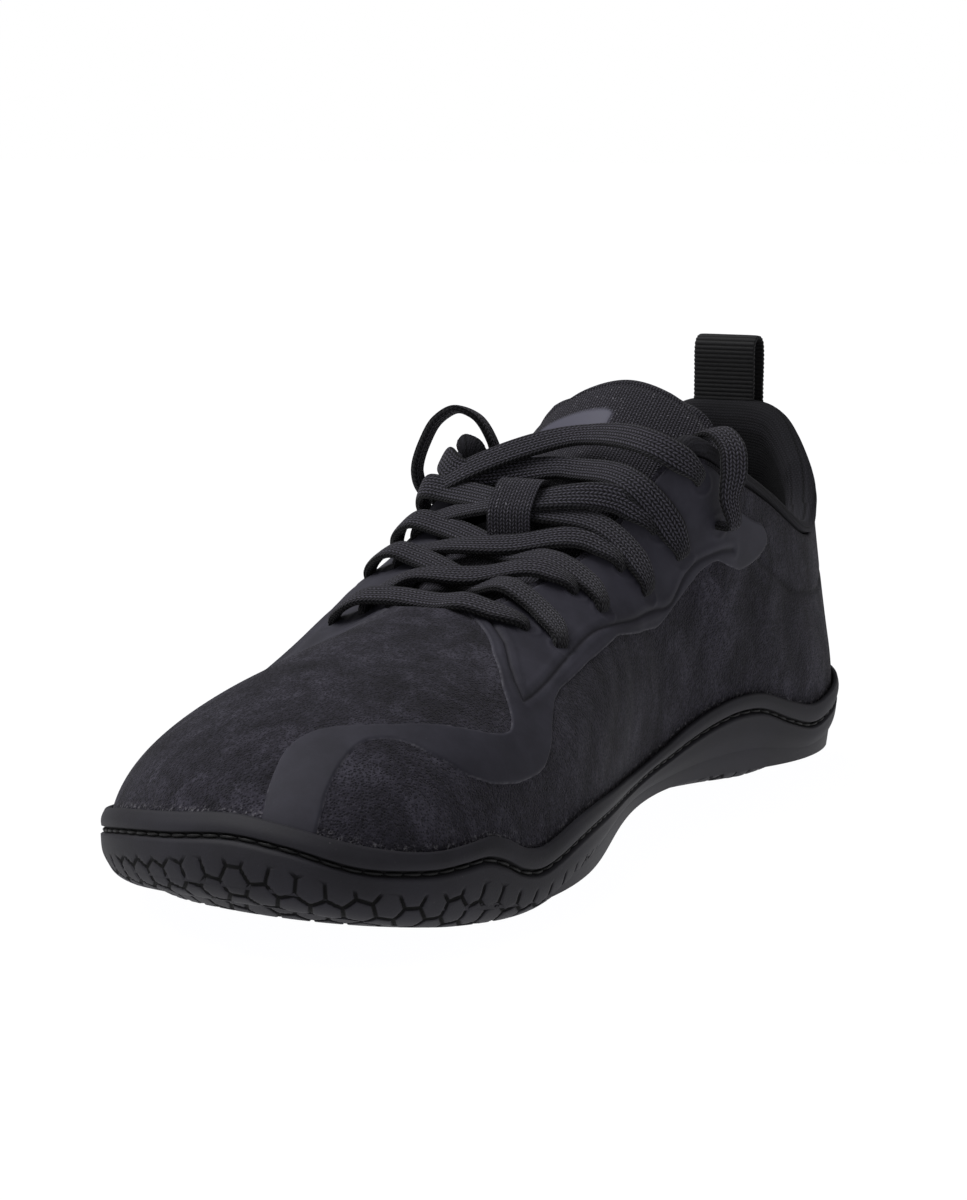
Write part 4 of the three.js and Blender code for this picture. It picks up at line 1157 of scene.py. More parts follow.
    def build(self, rubber: bpy.types.Material) -> bpy.types.Object:
        """Makes the outsole."""
        s = self.columns()
        heights, offsets = self.profile(s)
        side = self.beside(np.broadcast_to(s[:, None], heights.shape), heights, offsets)
        under = self.underside(s, side[:, -1])
        ring = side[:, 0]
        inner = ring[:, None] + (ring[::-1] - ring)[:, None] * np.array([0.5, 0.25])[None, :, None]
        grid = np.concatenate([inner, side, under], 1)
        edge_row = inner.shape[1] + side.shape[1] - 1
        climb = lengths(grid[:, edge_row::-1], 1)[:, ::-1]
        flat = grid[..., :2].copy()
        out = LAST.outward(s)[:, None, :2]
        flat[:, :edge_row + 1] = grid[:, edge_row:edge_row + 1, :2] + out * climb[..., None]
        belly = climb[:, edge_row + 1 - self.FLANK][:, None]
        reach = smooth_rows(self.CLIMB, LAST.count)(s)[:, :1] * belly
        tread = np.zeros(grid.shape[:2])
        cells = np.floor(flat[:, :edge_row + 1, 0] / self.cell)
        ragged = (np.sin(cells * 12.9) * 0.5 + 0.5) * 1.6 * MM
        fade = smooth_step(0.6 * MM, -0.8 * MM, climb - reach - ragged + 1 * MM)
        tread[:, :edge_row + 1] = fade * smooth_step(0.8 * MM, 2.4 * MM, reach)
        x = grid[:, edge_row + 1:, 0] / LAST.length
        waist = 1 - smooth_step(-0.3, -0.2, x) * (1 - smooth_step(-0.02, 0.08, x))
        from_edge = np.arange(x.shape[1])[None]
        tread[:, edge_row + 1:] = np.maximum(
            waist * smooth_step(0, 3, from_edge),
            tread[:, edge_row:edge_row + 1] * (1 - smooth_step(0, 6, from_edge)),
        )
        cut = smooth_step(0.6 * MM, 0.1 * MM, self.hexes(flat)) * tread
        normals = facing(grid_normals(grid, True, False), LAST.outward(s)[:, None])
        grid = grid - normals * (cut * self.tread_depth)[..., None]
        grid[:, -1] = (grid[:, -1] + grid[::-1, -1]) / 2
        grid[:, 0] = (grid[:, 0] + grid[::-1, 0]) / 2
        groove = np.zeros(grid.shape[:2])
        first = inner.shape[1] + self.WALL + self.CREST + self.BAND
        groove[:, first + 1:first + self.GROOVE - 1] = 1
        uv = np.concatenate([flat, flat[:1]])
        # the groove mark carries painted shade in the stitch groove
        skin = weave(grid, wrap_i=True, uv=uv, marks={"tread": tread, "groove": groove})
        skin = closed(skin, *grid.shape[:2])
        return settle(skin.build("rubber_cup", [rubber]), "rubber", "outsole")

    def stitches(self, thread: bpy.types.Material) -> bpy.types.Object:
        """The row of stitches in the groove: short swollen threads that dip at both ends."""
        seat = LAST.lip - self.stitch_seat
        s = np.linspace(0, LAST.count, 3000)
        line = self.beside(s, LAST.sidewall_top(s) - self.drop(s), np.full(s.shape, seat))
        keys = lengths(line)
        count = int(keys[-1] / self.stitch_pitch)
        starts = np.arange(count) * keys[-1] / count
        share = np.linspace(0, 1, 9)
        places = np.interp(starts[:, None] + share * self.stitch_length, keys, s)
        dip = -self.stitch_dip * np.abs(2 * share - 1) ** 4
        offset = np.broadcast_to(seat + dip, places.shape)
        middle = self.beside(places, LAST.sidewall_top(places) - self.drop(places), offset)
        way = unit(np.gradient(middle, axis=1))
        out = LAST.outward(places)
        over = unit(np.cross(way, out))
        turn = np.arange(8) * np.pi / 4
        swell = self.stitch_radius * (0.55 + 0.45 * np.sin(share * np.pi) ** 0.5)
        across = np.cos(turn)[:, None] * out[:, :, None] + np.sin(turn)[:, None] * over[:, :, None]
        tubes = middle[:, :, None] + across * swell[None, :, None, None]
        skin = joined([weave(tube, wrap_j=True, capped=True) for tube in tubes])
        return settle(skin.build("cup_stitches", [thread]), "rubber")


@dataclass
class Insole:
    """The flat bed inside the upper, a little dished."""

    thickness: float = 3.2 * MM
    edge: float = 0.9 * MM
    inset: float = 1 * MM
    columns: int = 150

    def build(self, fabric: bpy.types.Material) -> bpy.types.Object:
        """Makes the insole: rings up its edge, then rows across it that pair at the middle line."""
        half = (np.arange(self.columns) + 0.5) / self.columns * LAST.count / 2
        s = np.concatenate([half, LAST.count - half[::-1]])
        ground, out = LAST.outline(s), LAST.outward(s)
        base = LAST.bed(ground[:, 0]) + LAST.clearance
        turn = np.linspace(-np.pi / 2, np.pi / 2, 9)
        level = self.thickness / 2 * (1 + np.sin(turn))
        inward = LAST.lip + UPPER_WALL + LAST.clearance + self.inset + self.edge * (1 - np.cos(turn))
        rim = ground[:, None] - out[:, None] * inward[None, :, None]
        rim[..., 2] = base[:, None] + level
        u = np.linspace(0, 0.5, 14)[None, 1:, None]
        top = rim[:, -1:] + (rim[::-1, -1:] - rim[:, -1:]) * u
        under = rim[:, :1] + (rim[::-1, :1] - rim[:, :1]) * u[:, ::-1]
        grid = np.concatenate([under, rim, top], 1)
        flat = np.concatenate([grid[..., :2], grid[:1, :, :2]])
        skin = closed(weave(grid, wrap_i=True, uv=flat), *grid.shape[:2])
        return settle(skin.build("footbed", [fabric]), "insole", "insole")


@dataclass
class Upper:
    """The hollow upper: a thin wall from the sole to the collar and the throat, with eyelets."""

    columns: int = 640
    rows: int = 74
    edge_rows: int = 5
    inner_rows: int = 16

    def build(self, nubuck: bpy.types.Material) -> bpy.types.Object:
        """Makes the upper: the creased outer face, a round edge and the plain inner face."""
        s = (np.arange(self.columns) + 0.5)[:, None] * LAST.count / self.columns
        t = np.linspace(0, 1, self.rows)[None]
        outer = clothed(*np.broadcast_arrays(s, t))
        seam = np.zeros(outer.shape[:2])
        for line in RELIEF.seams():
            seam += np.exp(-((nearest(outer, line) / (RELIEF.SEAM_WIDTH * MM)) ** 2))
        outer = outer - LAST.out(s, t) * (RELIEF.SEAM_DEPTH * MM * seam)[..., None]
        turn = np.linspace(0, np.pi, self.edge_rows + 2)[None, 1:-1]
        side, up = LAST.out(s, 1.0), LAST.climb(s, 1.0)
        half = UPPER_WALL / 2
        middle = outer[:, -1:] - side * half
        across, above = half * np.cos(turn), half * 0.6 * np.sin(turn)
        crest = middle + side * across[..., None] + up * above[..., None]
        inner = LAST.skin(s, np.linspace(1, 0, self.inner_rows)[None], -UPPER_WALL)
        grid = np.concatenate([outer, crest, inner], 1)
        low = (grid[..., 2] - LAST.sidewall_top(s)) / MM
        # painted shade in the creases' troughs, and darker along the heel panel's seam
        crease_shade_and_seam = np.zeros(grid.shape[:2])
        dents = -RELIEF.heights(LAST.point(s, t)) / (0.22 * MM)
        crease_shade_and_seam[:, :self.rows] = np.clip(dents + seam * 1.6, 0, 2)
        inside = np.zeros(grid.shape[:2])
        inside[:, self.rows + self.edge_rows - 1:] = 1
        skin = weave(grid, wrap_i=True, wrap_j=True, marks={"low": low, "inside": inside, "crease_shade_and_seam": crease_shade_and_seam})
        upper = skin.build("nubuck_shell", [nubuck])
        drill(upper, *Side)
        return settle(upper, "nubuck", "upper")


@dataclass
class FilmOverlay:
    """One film overlay: a thin sheet whose rim sinks into the upper, with an embossed line."""

    side: Side
    outline: tuple
    line: tuple
    thickness: float = 0.6 * MM
    pitch: float = 0.5 * MM
    rim: float = 0.22 * MM
    rim_radius: float = 3.1 * MM
    # about how far one rib lies from the next, and how long a rib is, in millimetres
    STRETCH = (33.0, 84.0)

    def ribs(self, s: Array) -> Array:
        """Ribs of the inner side, or their mirror on the outer side."""
        return s if self.side is Side.INNER else LAST.count - s

    def build(self, film: bpy.types.Material, name: str) -> bpy.types.Object:
        """Makes the film: its height over the skin is a soft step of the distance to its outline."""
        loop = rounded_loop(np.array(self.outline) * self.STRETCH, 0.5, 1.1) / self.STRETCH
        first, last = loop[:, 0].min() - 0.06, loop[:, 0].max() + 0.06
        bottom = max(0.0, loop[:, 1].min() - 0.02)
        around, rise = self.STRETCH
        s = np.arange(first, last, self.pitch / (around * MM))[:, None]
        t = np.linspace(bottom, 1.0, int((1.0 - bottom) * rise * MM / self.pitch))[None]
        s, t = np.broadcast_arrays(s, t)
        inside = within(np.stack([s, t], -1), loop)
        base, out = LAST.point(self.ribs(s), t), LAST.out(self.ribs(s), t)
        ends = np.concatenate([loop, loop[:1]])
        close = nearest(base, LAST.point(self.ribs(ends[:, 0]), np.minimum(ends[:, 1], 1)))
        edge = np.where(inside, close, -close)
        kept = edge > -0.9 * MM
        keep = kept[:-1, :-1] & kept[1:, :-1] & kept[1:, 1:] & kept[:-1, 1:]
        line = np.array(self.line)
        line = np.concatenate([line[:4], smooth_path(line[4:], np.linspace(0, 1, 120))])
        far = nearest(base, LAST.point(self.ribs(line[:, 0]), line[:, 1]))
        groove = np.exp(-((far / (0.5 * MM)) ** 2))
        ridge = 0.18 * np.exp(-(((far - 1.9 * MM) / (0.9 * MM)) ** 2)) - 0.42 * groove
        height = -0.16 * MM + self.thickness * smooth_step(-0.1 * MM, 0.62 * MM, edge)
        height = height + ridge * MM * smooth_step(1 * MM, 2.5 * MM, edge)
        for eye in eyelets(self.side):
            away = np.linalg.norm(base - LAST.point(*eye), axis=-1)
            height = height + self.rim * np.exp(-(((away - self.rim_radius) / (0.6 * MM)) ** 2))
        creased = base + out * RELIEF.heights(base)[..., None]
        top = creased + out * height[..., None]
        under = creased - out * (0.42 * MM)
        # the line mark carries the painted shade in the embossed groove
        skin = slab(top, under, keep, {"edge": edge / MM, "line": groove})
        obj = skin.build(f"{name}_sheet", [film])
        drill(obj, self.side)
        return settle(obj, "film", name)


# the inner film's outline, as ribs and rises: up the toe, round the throat, down the tail and back
INNER_FILM = (
    (0.13, 0.08), (0.1, 0.3), (0.1, 0.37), (0.13, 0.42), (0.21, 0.46), (0.34, 0.48),
    (0.5, 0.49), (0.8, 0.5), (0.99, 0.5), (1.53, 0.48), (1.73, 0.48), (1.81, 0.49),
    (1.78, 0.53), (1.54, 0.65), (1.43, 0.79), (1.6, 0.92), (1.7, 0.985), (6.8, 0.985),
    (6.93, 0.94), (7.03, 0.9), (7.26, 0.9), (7.46, 0.91), (7.51, 0.88), (7.49, 0.84),
    (7.4, 0.8), (7.16, 0.72), (6.92, 0.66), (6.73, 0.64), (6.57, 0.64), (6.19, 0.56),
    (5.85, 0.52), (5.48, 0.49), (5.02, 0.53), (4.49, 0.6), (3.58, 0.62), (2.81, 0.6),
    (2.63, 0.57), (2.56, 0.5), (2.56, 0.42), (2.5, 0.36), (2.39, 0.34), (2.12, 0.32),
    (1.8, 0.32), (1.49, 0.34), (1.04, 0.4), (0.84, 0.43), (0.72, 0.44), (0.62, 0.44),
    (0.54, 0.43), (0.5, 0.39), (0.48, 0.32), (0.48, 0.27), (0.5, 0.2), (0.5, 0.08),
)
INNER_LINE = (
    (2.05, 0.93), (1.85, 0.83), (1.72, 0.73), (1.79, 0.66), (1.95, 0.59), (2.45, 0.64),
    (3, 0.68), (3.5, 0.7), (3.9, 0.7), (4.4, 0.66), (5.05, 0.59), (5.4, 0.57), (5.77, 0.54),
    (6.11, 0.6), (6.42, 0.64), (6.84, 0.72),
)
# the outer film: the eyestay, with a short tail at the ball
OUTER_FILM = (
    (1.75, 0.985), (1.7, 0.85), (1.78, 0.68), (2.1, 0.53), (2.6, 0.47), (3.2, 0.5), (4, 0.55),
    (4.89, 0.53), (5.48, 0.5), (5.9, 0.54), (6.42, 0.6), (6.71, 0.64), (6.99, 0.67),
    (7.29, 0.75), (7.49, 0.85), (7.48, 0.9), (7.03, 0.9), (6.93, 0.94), (6.8, 0.985),
    (3, 0.985),
)
OUTER_LINE = (
    (2, 0.93), (1.95, 0.8), (2.05, 0.68), (2.3, 0.58), (2.65, 0.54), (3.2, 0.57), (4, 0.62),
    (4.89, 0.6), (5.5, 0.56), (5.9, 0.6), (6.42, 0.66), (6.84, 0.73),
)


@dataclass
class Collar:
    """The padded lining that rolls out over the upper's edge, with fine ribs along it."""

    share: float = 0.26
    pad: float = 4 * MM
    gap: float = 1.2 * MM
    rim_height: float = 7 * MM
    rim_width: float = 6.6 * MM
    rim_bulge: float = 0.9 * MM
    columns: int = 460
    around: int = 88
    rib_pitch: float = 1.7 * MM
    # rib and the height of the rolled rim, as a share of rim_height
    RIMS = (
        (6.3, 0.8), (6.6, 0.85), (7, 0.7), (7.6, 0.58), (8.2, 0.55), (8.7, 0.72), (9.3, 1.35), (10, 1.7),
        (10.7, 1.4), (11.4, 0.8), (12, 0.62), (13, 0.7), (13.4, 0.85), (13.7, 0.8),
    )
    # rib and strength of the fine ribs along the rim
    RIBBED = (
        (6.3, 1), (7.0, 0.8), (7.5, 0.3), (8.0, 0.7), (8.7, 1), (9.3, 0.6), (10, 0.35), (10.7, 0.6),
        (11.4, 1), (12.2, 0.6), (12.8, 0.4), (13.2, 0.8), (13.7, 1),
    )
    # the ribs between which the collar runs, round the back
    ENDS = (6.379, 13.621)

    def build(self, lining: bpy.types.Material) -> bpy.types.Object:
        """Makes the collar: one round profile at each rib, swept round the ankle."""
        s = np.linspace(*self.ENDS, self.columns)
        gap = UPPER_WALL + self.gap
        face = gap + self.pad
        seat = UPPER_WALL * 0.3 + 2 * LAST.clearance
        high = (self.rim_height * smooth_rows(self.RIMS)(s)[:, 0])[:, None]
        edge, out, up = LAST.point(s, 1.0), LAST.out(s, 1.0), LAST.climb(s, 1.0)

        def over(share: float, offset: float) -> Array:
            return edge + up * (seat + (high - seat) * share) + out * offset

        low, middle = 1 - self.share, 1 - self.share / 2
        profile = np.stack([
            LAST.skin(s, low, -gap - 1.2 * MM), LAST.skin(s, low + 0.06, -face + 0.6 * MM),
            LAST.skin(s, middle, -face), LAST.skin(s, 1.0, -face),
            over(0.55, -self.rim_width), over(0.86, self.rim_width * -0.8),
            over(1, self.rim_width * -0.35), over(0.86, 0.1 * MM), over(0.45, self.rim_bulge),
            over(0.08, 0.5 * MM), over(0, -0.8 * MM), over(0, -gap),
            LAST.skin(s, 1.0, -gap), LAST.skin(s, middle, -gap), LAST.skin(s, low, -gap),
        ])
        shares = np.arange(self.around) / self.around
        grid = smooth_path(profile, shares, closed=True).transpose(1, 0, 2)
        normals = facing(grid_normals(grid, False, True), grid - grid.mean(1, keepdims=True))
        run = lengths(grid, 1)
        top = np.argmax(grid[..., 2], axis=1)
        from_top = run - run[np.arange(len(s)), top][:, None]
        zone = smooth_step(-13 * MM, -9 * MM, from_top) * (1 - smooth_step(6 * MM, 9 * MM, from_top))
        strength = smooth_rows(self.RIBBED)(s)[:, :1]
        ribs = np.abs(np.sin(from_top * np.pi / self.rib_pitch)) ** 0.7 * zone * strength
        grid = grid + normals * (0.3 * MM * ribs)[..., None]
        along = lengths(edge)
        to_end = np.minimum(along, along[-1] - along)[:, None, None]
        closing = np.sqrt(np.clip(1 - (1 - np.clip(to_end / (5 * MM), 0, 1)) ** 2, 0.0004, 1))
        core = grid.mean(1, keepdims=True)
        grid = core + (grid - core) * closing
        last = np.linalg.norm(grid[:, :1] - grid[:, -1:], axis=-1)
        around = np.concatenate([run, run[:, -1:] + last], 1)
        uv = np.stack([np.broadcast_to(along[:, None], around.shape), around], -1)
        # the crest mark carries a painted highlight on the tops of the fine ribs
        skin = weave(grid, wrap_j=True, uv=uv, capped=True, marks={"crest": ribs})
        collar = settle(skin.build("collar_roll", [lining]), "lining", "collar")
        return collar


@dataclass
class Tongue:
    """The padded tongue: a bowed sheet under the throat that stands up above the laces."""

    thickness: float = 3.6 * MM
    gap: float = 1.1 * MM
    across: int = 90
    down: int = 170
    # rib, how far up it the hidden edge lies, and the crown's rise
    UNDER = (
        (2.4, 0.82, 0.006), (3.1, 0.79, 0.016), (4, 0.8, 0.03), (4.8, 0.84, 0.075), (5.3, 0.88, 0.09),
    )
    # along, height, half width, back and down
    OVER = (
        (-0.095, 0.895, 0.16, 0.02, 0.13), (-0.132, 0.95, 0.21, 0.025, 0.12),
        (-0.172, 1.03, 0.262, 0.03, 0.125), (-0.205, 1.11, 0.282, 0.015, 0.14),
        (-0.226, 1.162, 0.268, 0.002, 0.15), (-0.236, 1.192, 0.2, -0.006, 0.1),
    )

    def sheet(self) -> Array:
        """The outer face: smooth rows across the tongue, then smooth columns down it."""
        hide = -(UPPER_WALL + self.gap)
        shares = np.linspace(0, 1, self.across)
        front = LAST.skin(np.array([1.9, 1, 0.2, 19.4, 18.6, 17.8]), 0.88, hide)
        rows = [smooth_path(front, shares)]
        for place, hidden, crown in self.UNDER:
            sides = np.array([place, place, LAST.count - place, LAST.count - place])
            hid, inner, outer, far = LAST.skin(sides, np.array([hidden, 0.985, 0.985, hidden]), hide)
            top = (inner + outer) / 2 + np.array([0, 0, crown * LAST.instep])
            rows.append(smooth_path(np.stack([hid, inner, top, outer, far]), shares))
        share = np.array([1, 0.6, 0, -0.6, -1])
        for x, height, half, back, down in self.OVER:
            level = height * LAST.collar
            points = np.stack([
                x * LAST.length - back * LAST.length * share**2,
                (TONGUE_MIDDLE + half * share) * LAST.ball,
                level - down * LAST.collar * share**2,
            ], -1)
            rows.append(smooth_path(points, shares))
        return smooth_path(np.stack(rows), np.linspace(0, 1, self.down))

    def crown(self, x: float) -> float:
        """Height of the outer face along the middle line."""
        line = self.sheet()[:, self.across // 2]
        order = np.argsort(line[:, 0])
        return float(np.interp(x, line[order, 0], line[order, 2]))

    def build(self, knit: bpy.types.Material) -> bpy.types.Object:
        """Makes the tongue: the outer face, and an underside that meets it in a round edge."""
        grid = self.sheet()
        normals = facing(grid_normals(grid, False, False), np.array([0, 0, 1]))
        v = np.linspace(-1, 1, self.across)[None]
        u = np.linspace(0, 1, self.down)[:, None]
        puff = (1 - np.abs(v) ** 8) ** 0.5 * (1 - u**40) ** 0.5 * (1 - (1 - u) ** 40) ** 0.5
        channel = 0.5 * MM * np.exp(-(((u - 0.965) / 0.006) ** 2)) * (1 - np.abs(v) ** 6)
        half = self.thickness / 2
        middle = grid - normals * half
        top = middle + normals * (half * puff - channel)[..., None]
        under = middle - normals * (half * puff)[..., None]
        ring = np.concatenate([top, under[:, -2:0:-1]], 1)
        run = lengths(grid).mean(1)
        spread = lengths(top, 1)
        spread = spread - spread[:, -1:] / 2
        over = np.concatenate([spread, spread[:, -2::-1]], 1)
        uv = np.stack([np.broadcast_to(run[:, None], over.shape), over], -1)
        flat_u, flat_v = run[:, None] / run[-1], v
        round_end = 0.9 - 0.05 * np.clip((flat_v - 0.1) / 0.3, -1, 0) ** 2
        plate = smooth_step(0.82, 0.83, flat_u) * (1 - smooth_step(-0.005, 0.005, flat_u - round_end))
        plate = plate * smooth_step(-0.05, 0.0, flat_v) * (1 - smooth_step(0.9, 0.94, flat_v))
        patch = np.concatenate([plate, np.zeros((self.down, self.across - 2))], 1)
        skin = weave(ring, wrap_j=True, uv=uv, capped=True, marks={"patch": patch})
        tongue = settle(skin.build("knit_tongue", [knit]), "knit", "tongue")
        return tongue


def strap(
    path: Array, wide: Array, width: Array, thickness: Array, around: int = 32, square: float = 3.2,
) -> tuple[Array, Array]:
    """A flat band swept along a path: each section is a super-ellipse across the path.

    Args:
        path: the middle line.
        wide: the direction of the width at each point.
        width: the full width at each point.
        thickness: the full thickness at each point.
        around: the number of points round a section.
        square: the power of the super-ellipse; 2 is an ellipse and more is squarer.

    Returns:
        The grid of points, and the places of its pattern: along the path, and round the section.
    """
    way = unit(np.gradient(path, axis=0))
    flat = unit(wide - way * (wide * way).sum(-1, keepdims=True))
    over = np.cross(way, flat)
    turn = (np.arange(around) + 0.5) * 2 * np.pi / around
    c, s = np.cos(turn), np.sin(turn)
    x = np.sign(c) * np.abs(c) ** (2 / square)
    y = np.sign(s) * np.abs(s) ** (2 / square)
    grid = (
        path[:, None]
        + flat[:, None] * (x[None, :, None] * width[:, None, None] / 2)
        + over[:, None] * (y[None, :, None] * thickness[:, None, None] / 2)
    )
    run = lengths(path)
    girth = lengths(np.concatenate([grid, grid[:, :1]], 1), 1).mean(0)
    return grid, np.stack(np.broadcast_arrays(run[:, None], girth[None]), -1)


@dataclass
class Laces:
    """The woven lace: bars across the throat, and two free ends that fall back inside."""

    width: float = 7.5 * MM
    thickness: float = 2 * MM
    bunched: float = 4.5 * MM
    seat: float = 1.95 * MM
    slack: float = 2.6 * MM
    # width and thickness where a bar comes out of its eyelet, and the width of a free end there
    pinched: float = 3.9 * MM
    pinched_thickness: float = 2.2 * MM
    end_pinched: float = 2.8 * MM
    # the turn out of an eyelet: millimetres along the film and off it
    TURN = ((0.75, 0.3), (1.35, 1.15), (2.6, 1.72), (4.8, 1.95))
    # pair, row and edge rib on the inner side, the same on the outer side, then the middle's
    # place along, its height, the band's tilt in degrees and a rise in millimetres
    BARS = (
        (1, Row.IN, 1.9, 1, Row.OUT, 2.3, 0.117, 1.005, 20, 0.0),
        (1, Row.OUT, 3.2, 2, Row.OUT, 4.05, 0.053, 1.04, 22, -0.3),
        (2, Row.IN, 4.05, 1, Row.IN, 3.2, 0.053, 1.068, 22, 0.3),
        (2, Row.OUT, 4.4, 3, Row.OUT, 5.1, -0.007, 1.132, 28, -0.3),
        (3, Row.IN, 5.1, 2, Row.IN, 4.4, -0.007, 1.16, 28, 0.3),
        (3, Row.OUT, 5.35, 4, Row.OUT, 5.75, -0.043, 1.292, 33, -0.2),
        (4, Row.IN, 5.75, 3, Row.IN, 5.35, -0.043, 1.322, 33, 0.2),
        (4, Row.OUT, 5.92, 5, Row.IN, 6.06, -0.117, 1.425, 36, 0.0),
        (5, Row.IN, 6.34, 4, Row.IN, 5.9, -0.137, 1.545, 36, 0.6),
    )
    # along, across and height of the free ends' routes
    INNER_END = (
        (-0.1375, 0.382, 0.9), (-0.145, 0.383, 0.97), (-0.153, 0.367, 1.03), (-0.16, 0.324, 1.067),
        (-0.167, 0.274, 1.05), (-0.172, 0.244, 0.97), (-0.175, 0.232, 0.86),
    )
    OUTER_END = (
        (-0.121, -0.436, 0.92), (-0.118, -0.41, 1.01), (-0.123, -0.38, 1.075),
        (-0.13, -0.343, 1.103), (-0.136, -0.296, 1.085), (-0.14, -0.257, 1.02),
        (-0.142, -0.239, 0.92), (-0.143, -0.236, 0.8),
    )

    def leg(
        self, place: tuple[float, float], edge: float, middle: Array, slack: float,
    ) -> tuple[Array, Array]:
        """The lace from inside an eyelet, up over the film, to the throat's edge.

        Args:
            place: the eyelet's rib and rise.
            edge: the rib where the lace passes the throat's edge.
            middle: the bar's middle, which the lace runs to without sagging.
            slack: how far the lace stands off the film on its way.

        Returns:
            The points of the leg, and the direction of the lace's width.
        """
        s, t = place
        out, hole = LAST.out(s, t), LAST.point(s, t)
        reach = float(np.linalg.norm(LAST.point(edge, 1.0) - hole))

        def over(along: float, offset: float) -> Array:
            share = along / reach
            return LAST.skin(s + (edge - s) * share, t + (1 - t) * share, offset)

        def taut(low: Array, start: Array, end: Array) -> Array:
            way = end - start
            share = np.clip(((low - start) * way).sum() / (way**2).sum(), 0, 1)
            return low + out * max(0.0, float(((start + way * share - low) * out).sum()))

        turn = [
            over(along * MM, offset * MM + slack * (along / 8) ** 1.5) for along, offset in self.TURN
        ]
        far = taut(over(reach, self.seat), turn[-1], middle)
        near = taut(over((self.TURN[-1][0] * MM + reach) / 2, self.seat + slack), turn[-1], far)
        pull = over(0.6 * MM, 0) - hole
        sunk = [hole + pull - out * 4.5 * MM, hole + pull - out * 1.4 * MM]
        flat = np.cross(far - hole, LAST.out((s + edge) / 2, (t + 1) / 2))
        return np.stack([*sunk, *turn, near, far]), unit(flat if flat[0] > 0 else -flat)

    def route(self, bar: tuple) -> tuple[Array, Array, Array]:
        """A bar's middle line, the direction of its width, and how bunched it is."""
        pair, row, edge, far_pair, far_row, far_edge, x, height, tilt, rise = bar
        level = height * LAST.instep + rise * MM
        middle = np.array([x * LAST.length, TONGUE_MIDDLE * LAST.ball, level])
        start, first = self.leg(eyelet(pair, row, Side.INNER), edge, middle, 0.0)
        end, last = self.leg(
            eyelet(far_pair, far_row, Side.OUTER), LAST.count - far_edge, middle,
            self.slack if far_row is Row.OUT else 0.0,
        )
        lean = math.radians(tilt)
        tilted = np.array([math.cos(lean), 0, -math.sin(lean)])
        share = np.linspace(0, 1, 220)
        path = smooth_path(np.concatenate([start, [middle], end[::-1]]), share)
        away = 1 - smooth_step(0.14, 0.5, np.minimum(share, 1 - share))[:, None]
        wide = tilted * (1 - away) + np.where(share[:, None] < 0.5, first, last) * away
        run = lengths(path)
        return path, wide, smooth_step(5 * MM, 14 * MM, np.minimum(run, run[-1] - run))

    @staticmethod
    def painted_edge_shade(grid: Array) -> Array:
        """Painted shade along the band's two edges: how near each point lies to them, from 0 to 1."""
        turn = (np.arange(grid.shape[1]) + 0.5) * 2 * np.pi / grid.shape[1]
        return np.broadcast_to(smooth_step(0.74, 0.97, np.abs(np.cos(turn)) ** 0.6), grid.shape[:2])

    def bars(self, yarn: bpy.types.Material) -> bpy.types.Object:
        """Makes the bars."""
        skins = []
        for bar in self.BARS:
            path, wide, loose = self.route(bar)
            width = self.pinched + (self.width - self.pinched) * loose
            thickness = self.pinched_thickness + (self.thickness - self.pinched_thickness) * loose
            grid, uv = strap(path, wide, width, thickness)
            # painted shade along both edges of the bar, deeper where it dives into its eyelets
            shade = np.maximum(self.painted_edge_shade(grid), 0.85 * (1 - loose[:, None]) ** 2)
            skins.append(weave(grid, wrap_j=True, uv=uv, capped=True, marks={"shade": shade}))
        return settle(joined(skins).build("woven_bars", [yarn]), "lace", "laces_1")

    def end(
        self, rows: tuple, side: Side, width: float, across: tuple, name: str,
        yarn: bpy.types.Material,
    ) -> bpy.types.Object:
        """Makes a free end: out of the top eyelet, over the collar and down inside.

        Args:
            rows: the points of its route.
            side: the side of its eyelet.
            width: the cord's full width.
            across: the direction of its width.
            name: the CAD node that it stands for.
            yarn: its material.

        Returns:
            The piece.
        """
        s, t = eyelet(5, Row.OUT, side)
        table = np.array(rows) * np.array([LAST.length, LAST.ball, LAST.collar])
        start = LAST.skin(np.full(3, s), np.full(3, t), np.array([-1.5, 1.2, 4.5]) * MM)
        path = smooth_path(np.concatenate([start, table]), np.linspace(0, 1, 160))
        wide = np.broadcast_to(across, path.shape)
        run = lengths(path)
        loose = smooth_step(0, 23 * MM, run)
        girth = self.end_pinched + (width - self.end_pinched) * loose
        grid, uv = strap(path, wide, girth, np.full(len(path), self.thickness))
        # painted shade along both edges of the free end
        skin = weave(grid, wrap_j=True, uv=uv, capped=True, marks={"shade": self.painted_edge_shade(grid)})
        obj = settle(skin.build(f"{name}_band", [yarn]), "lace", name)
        return obj


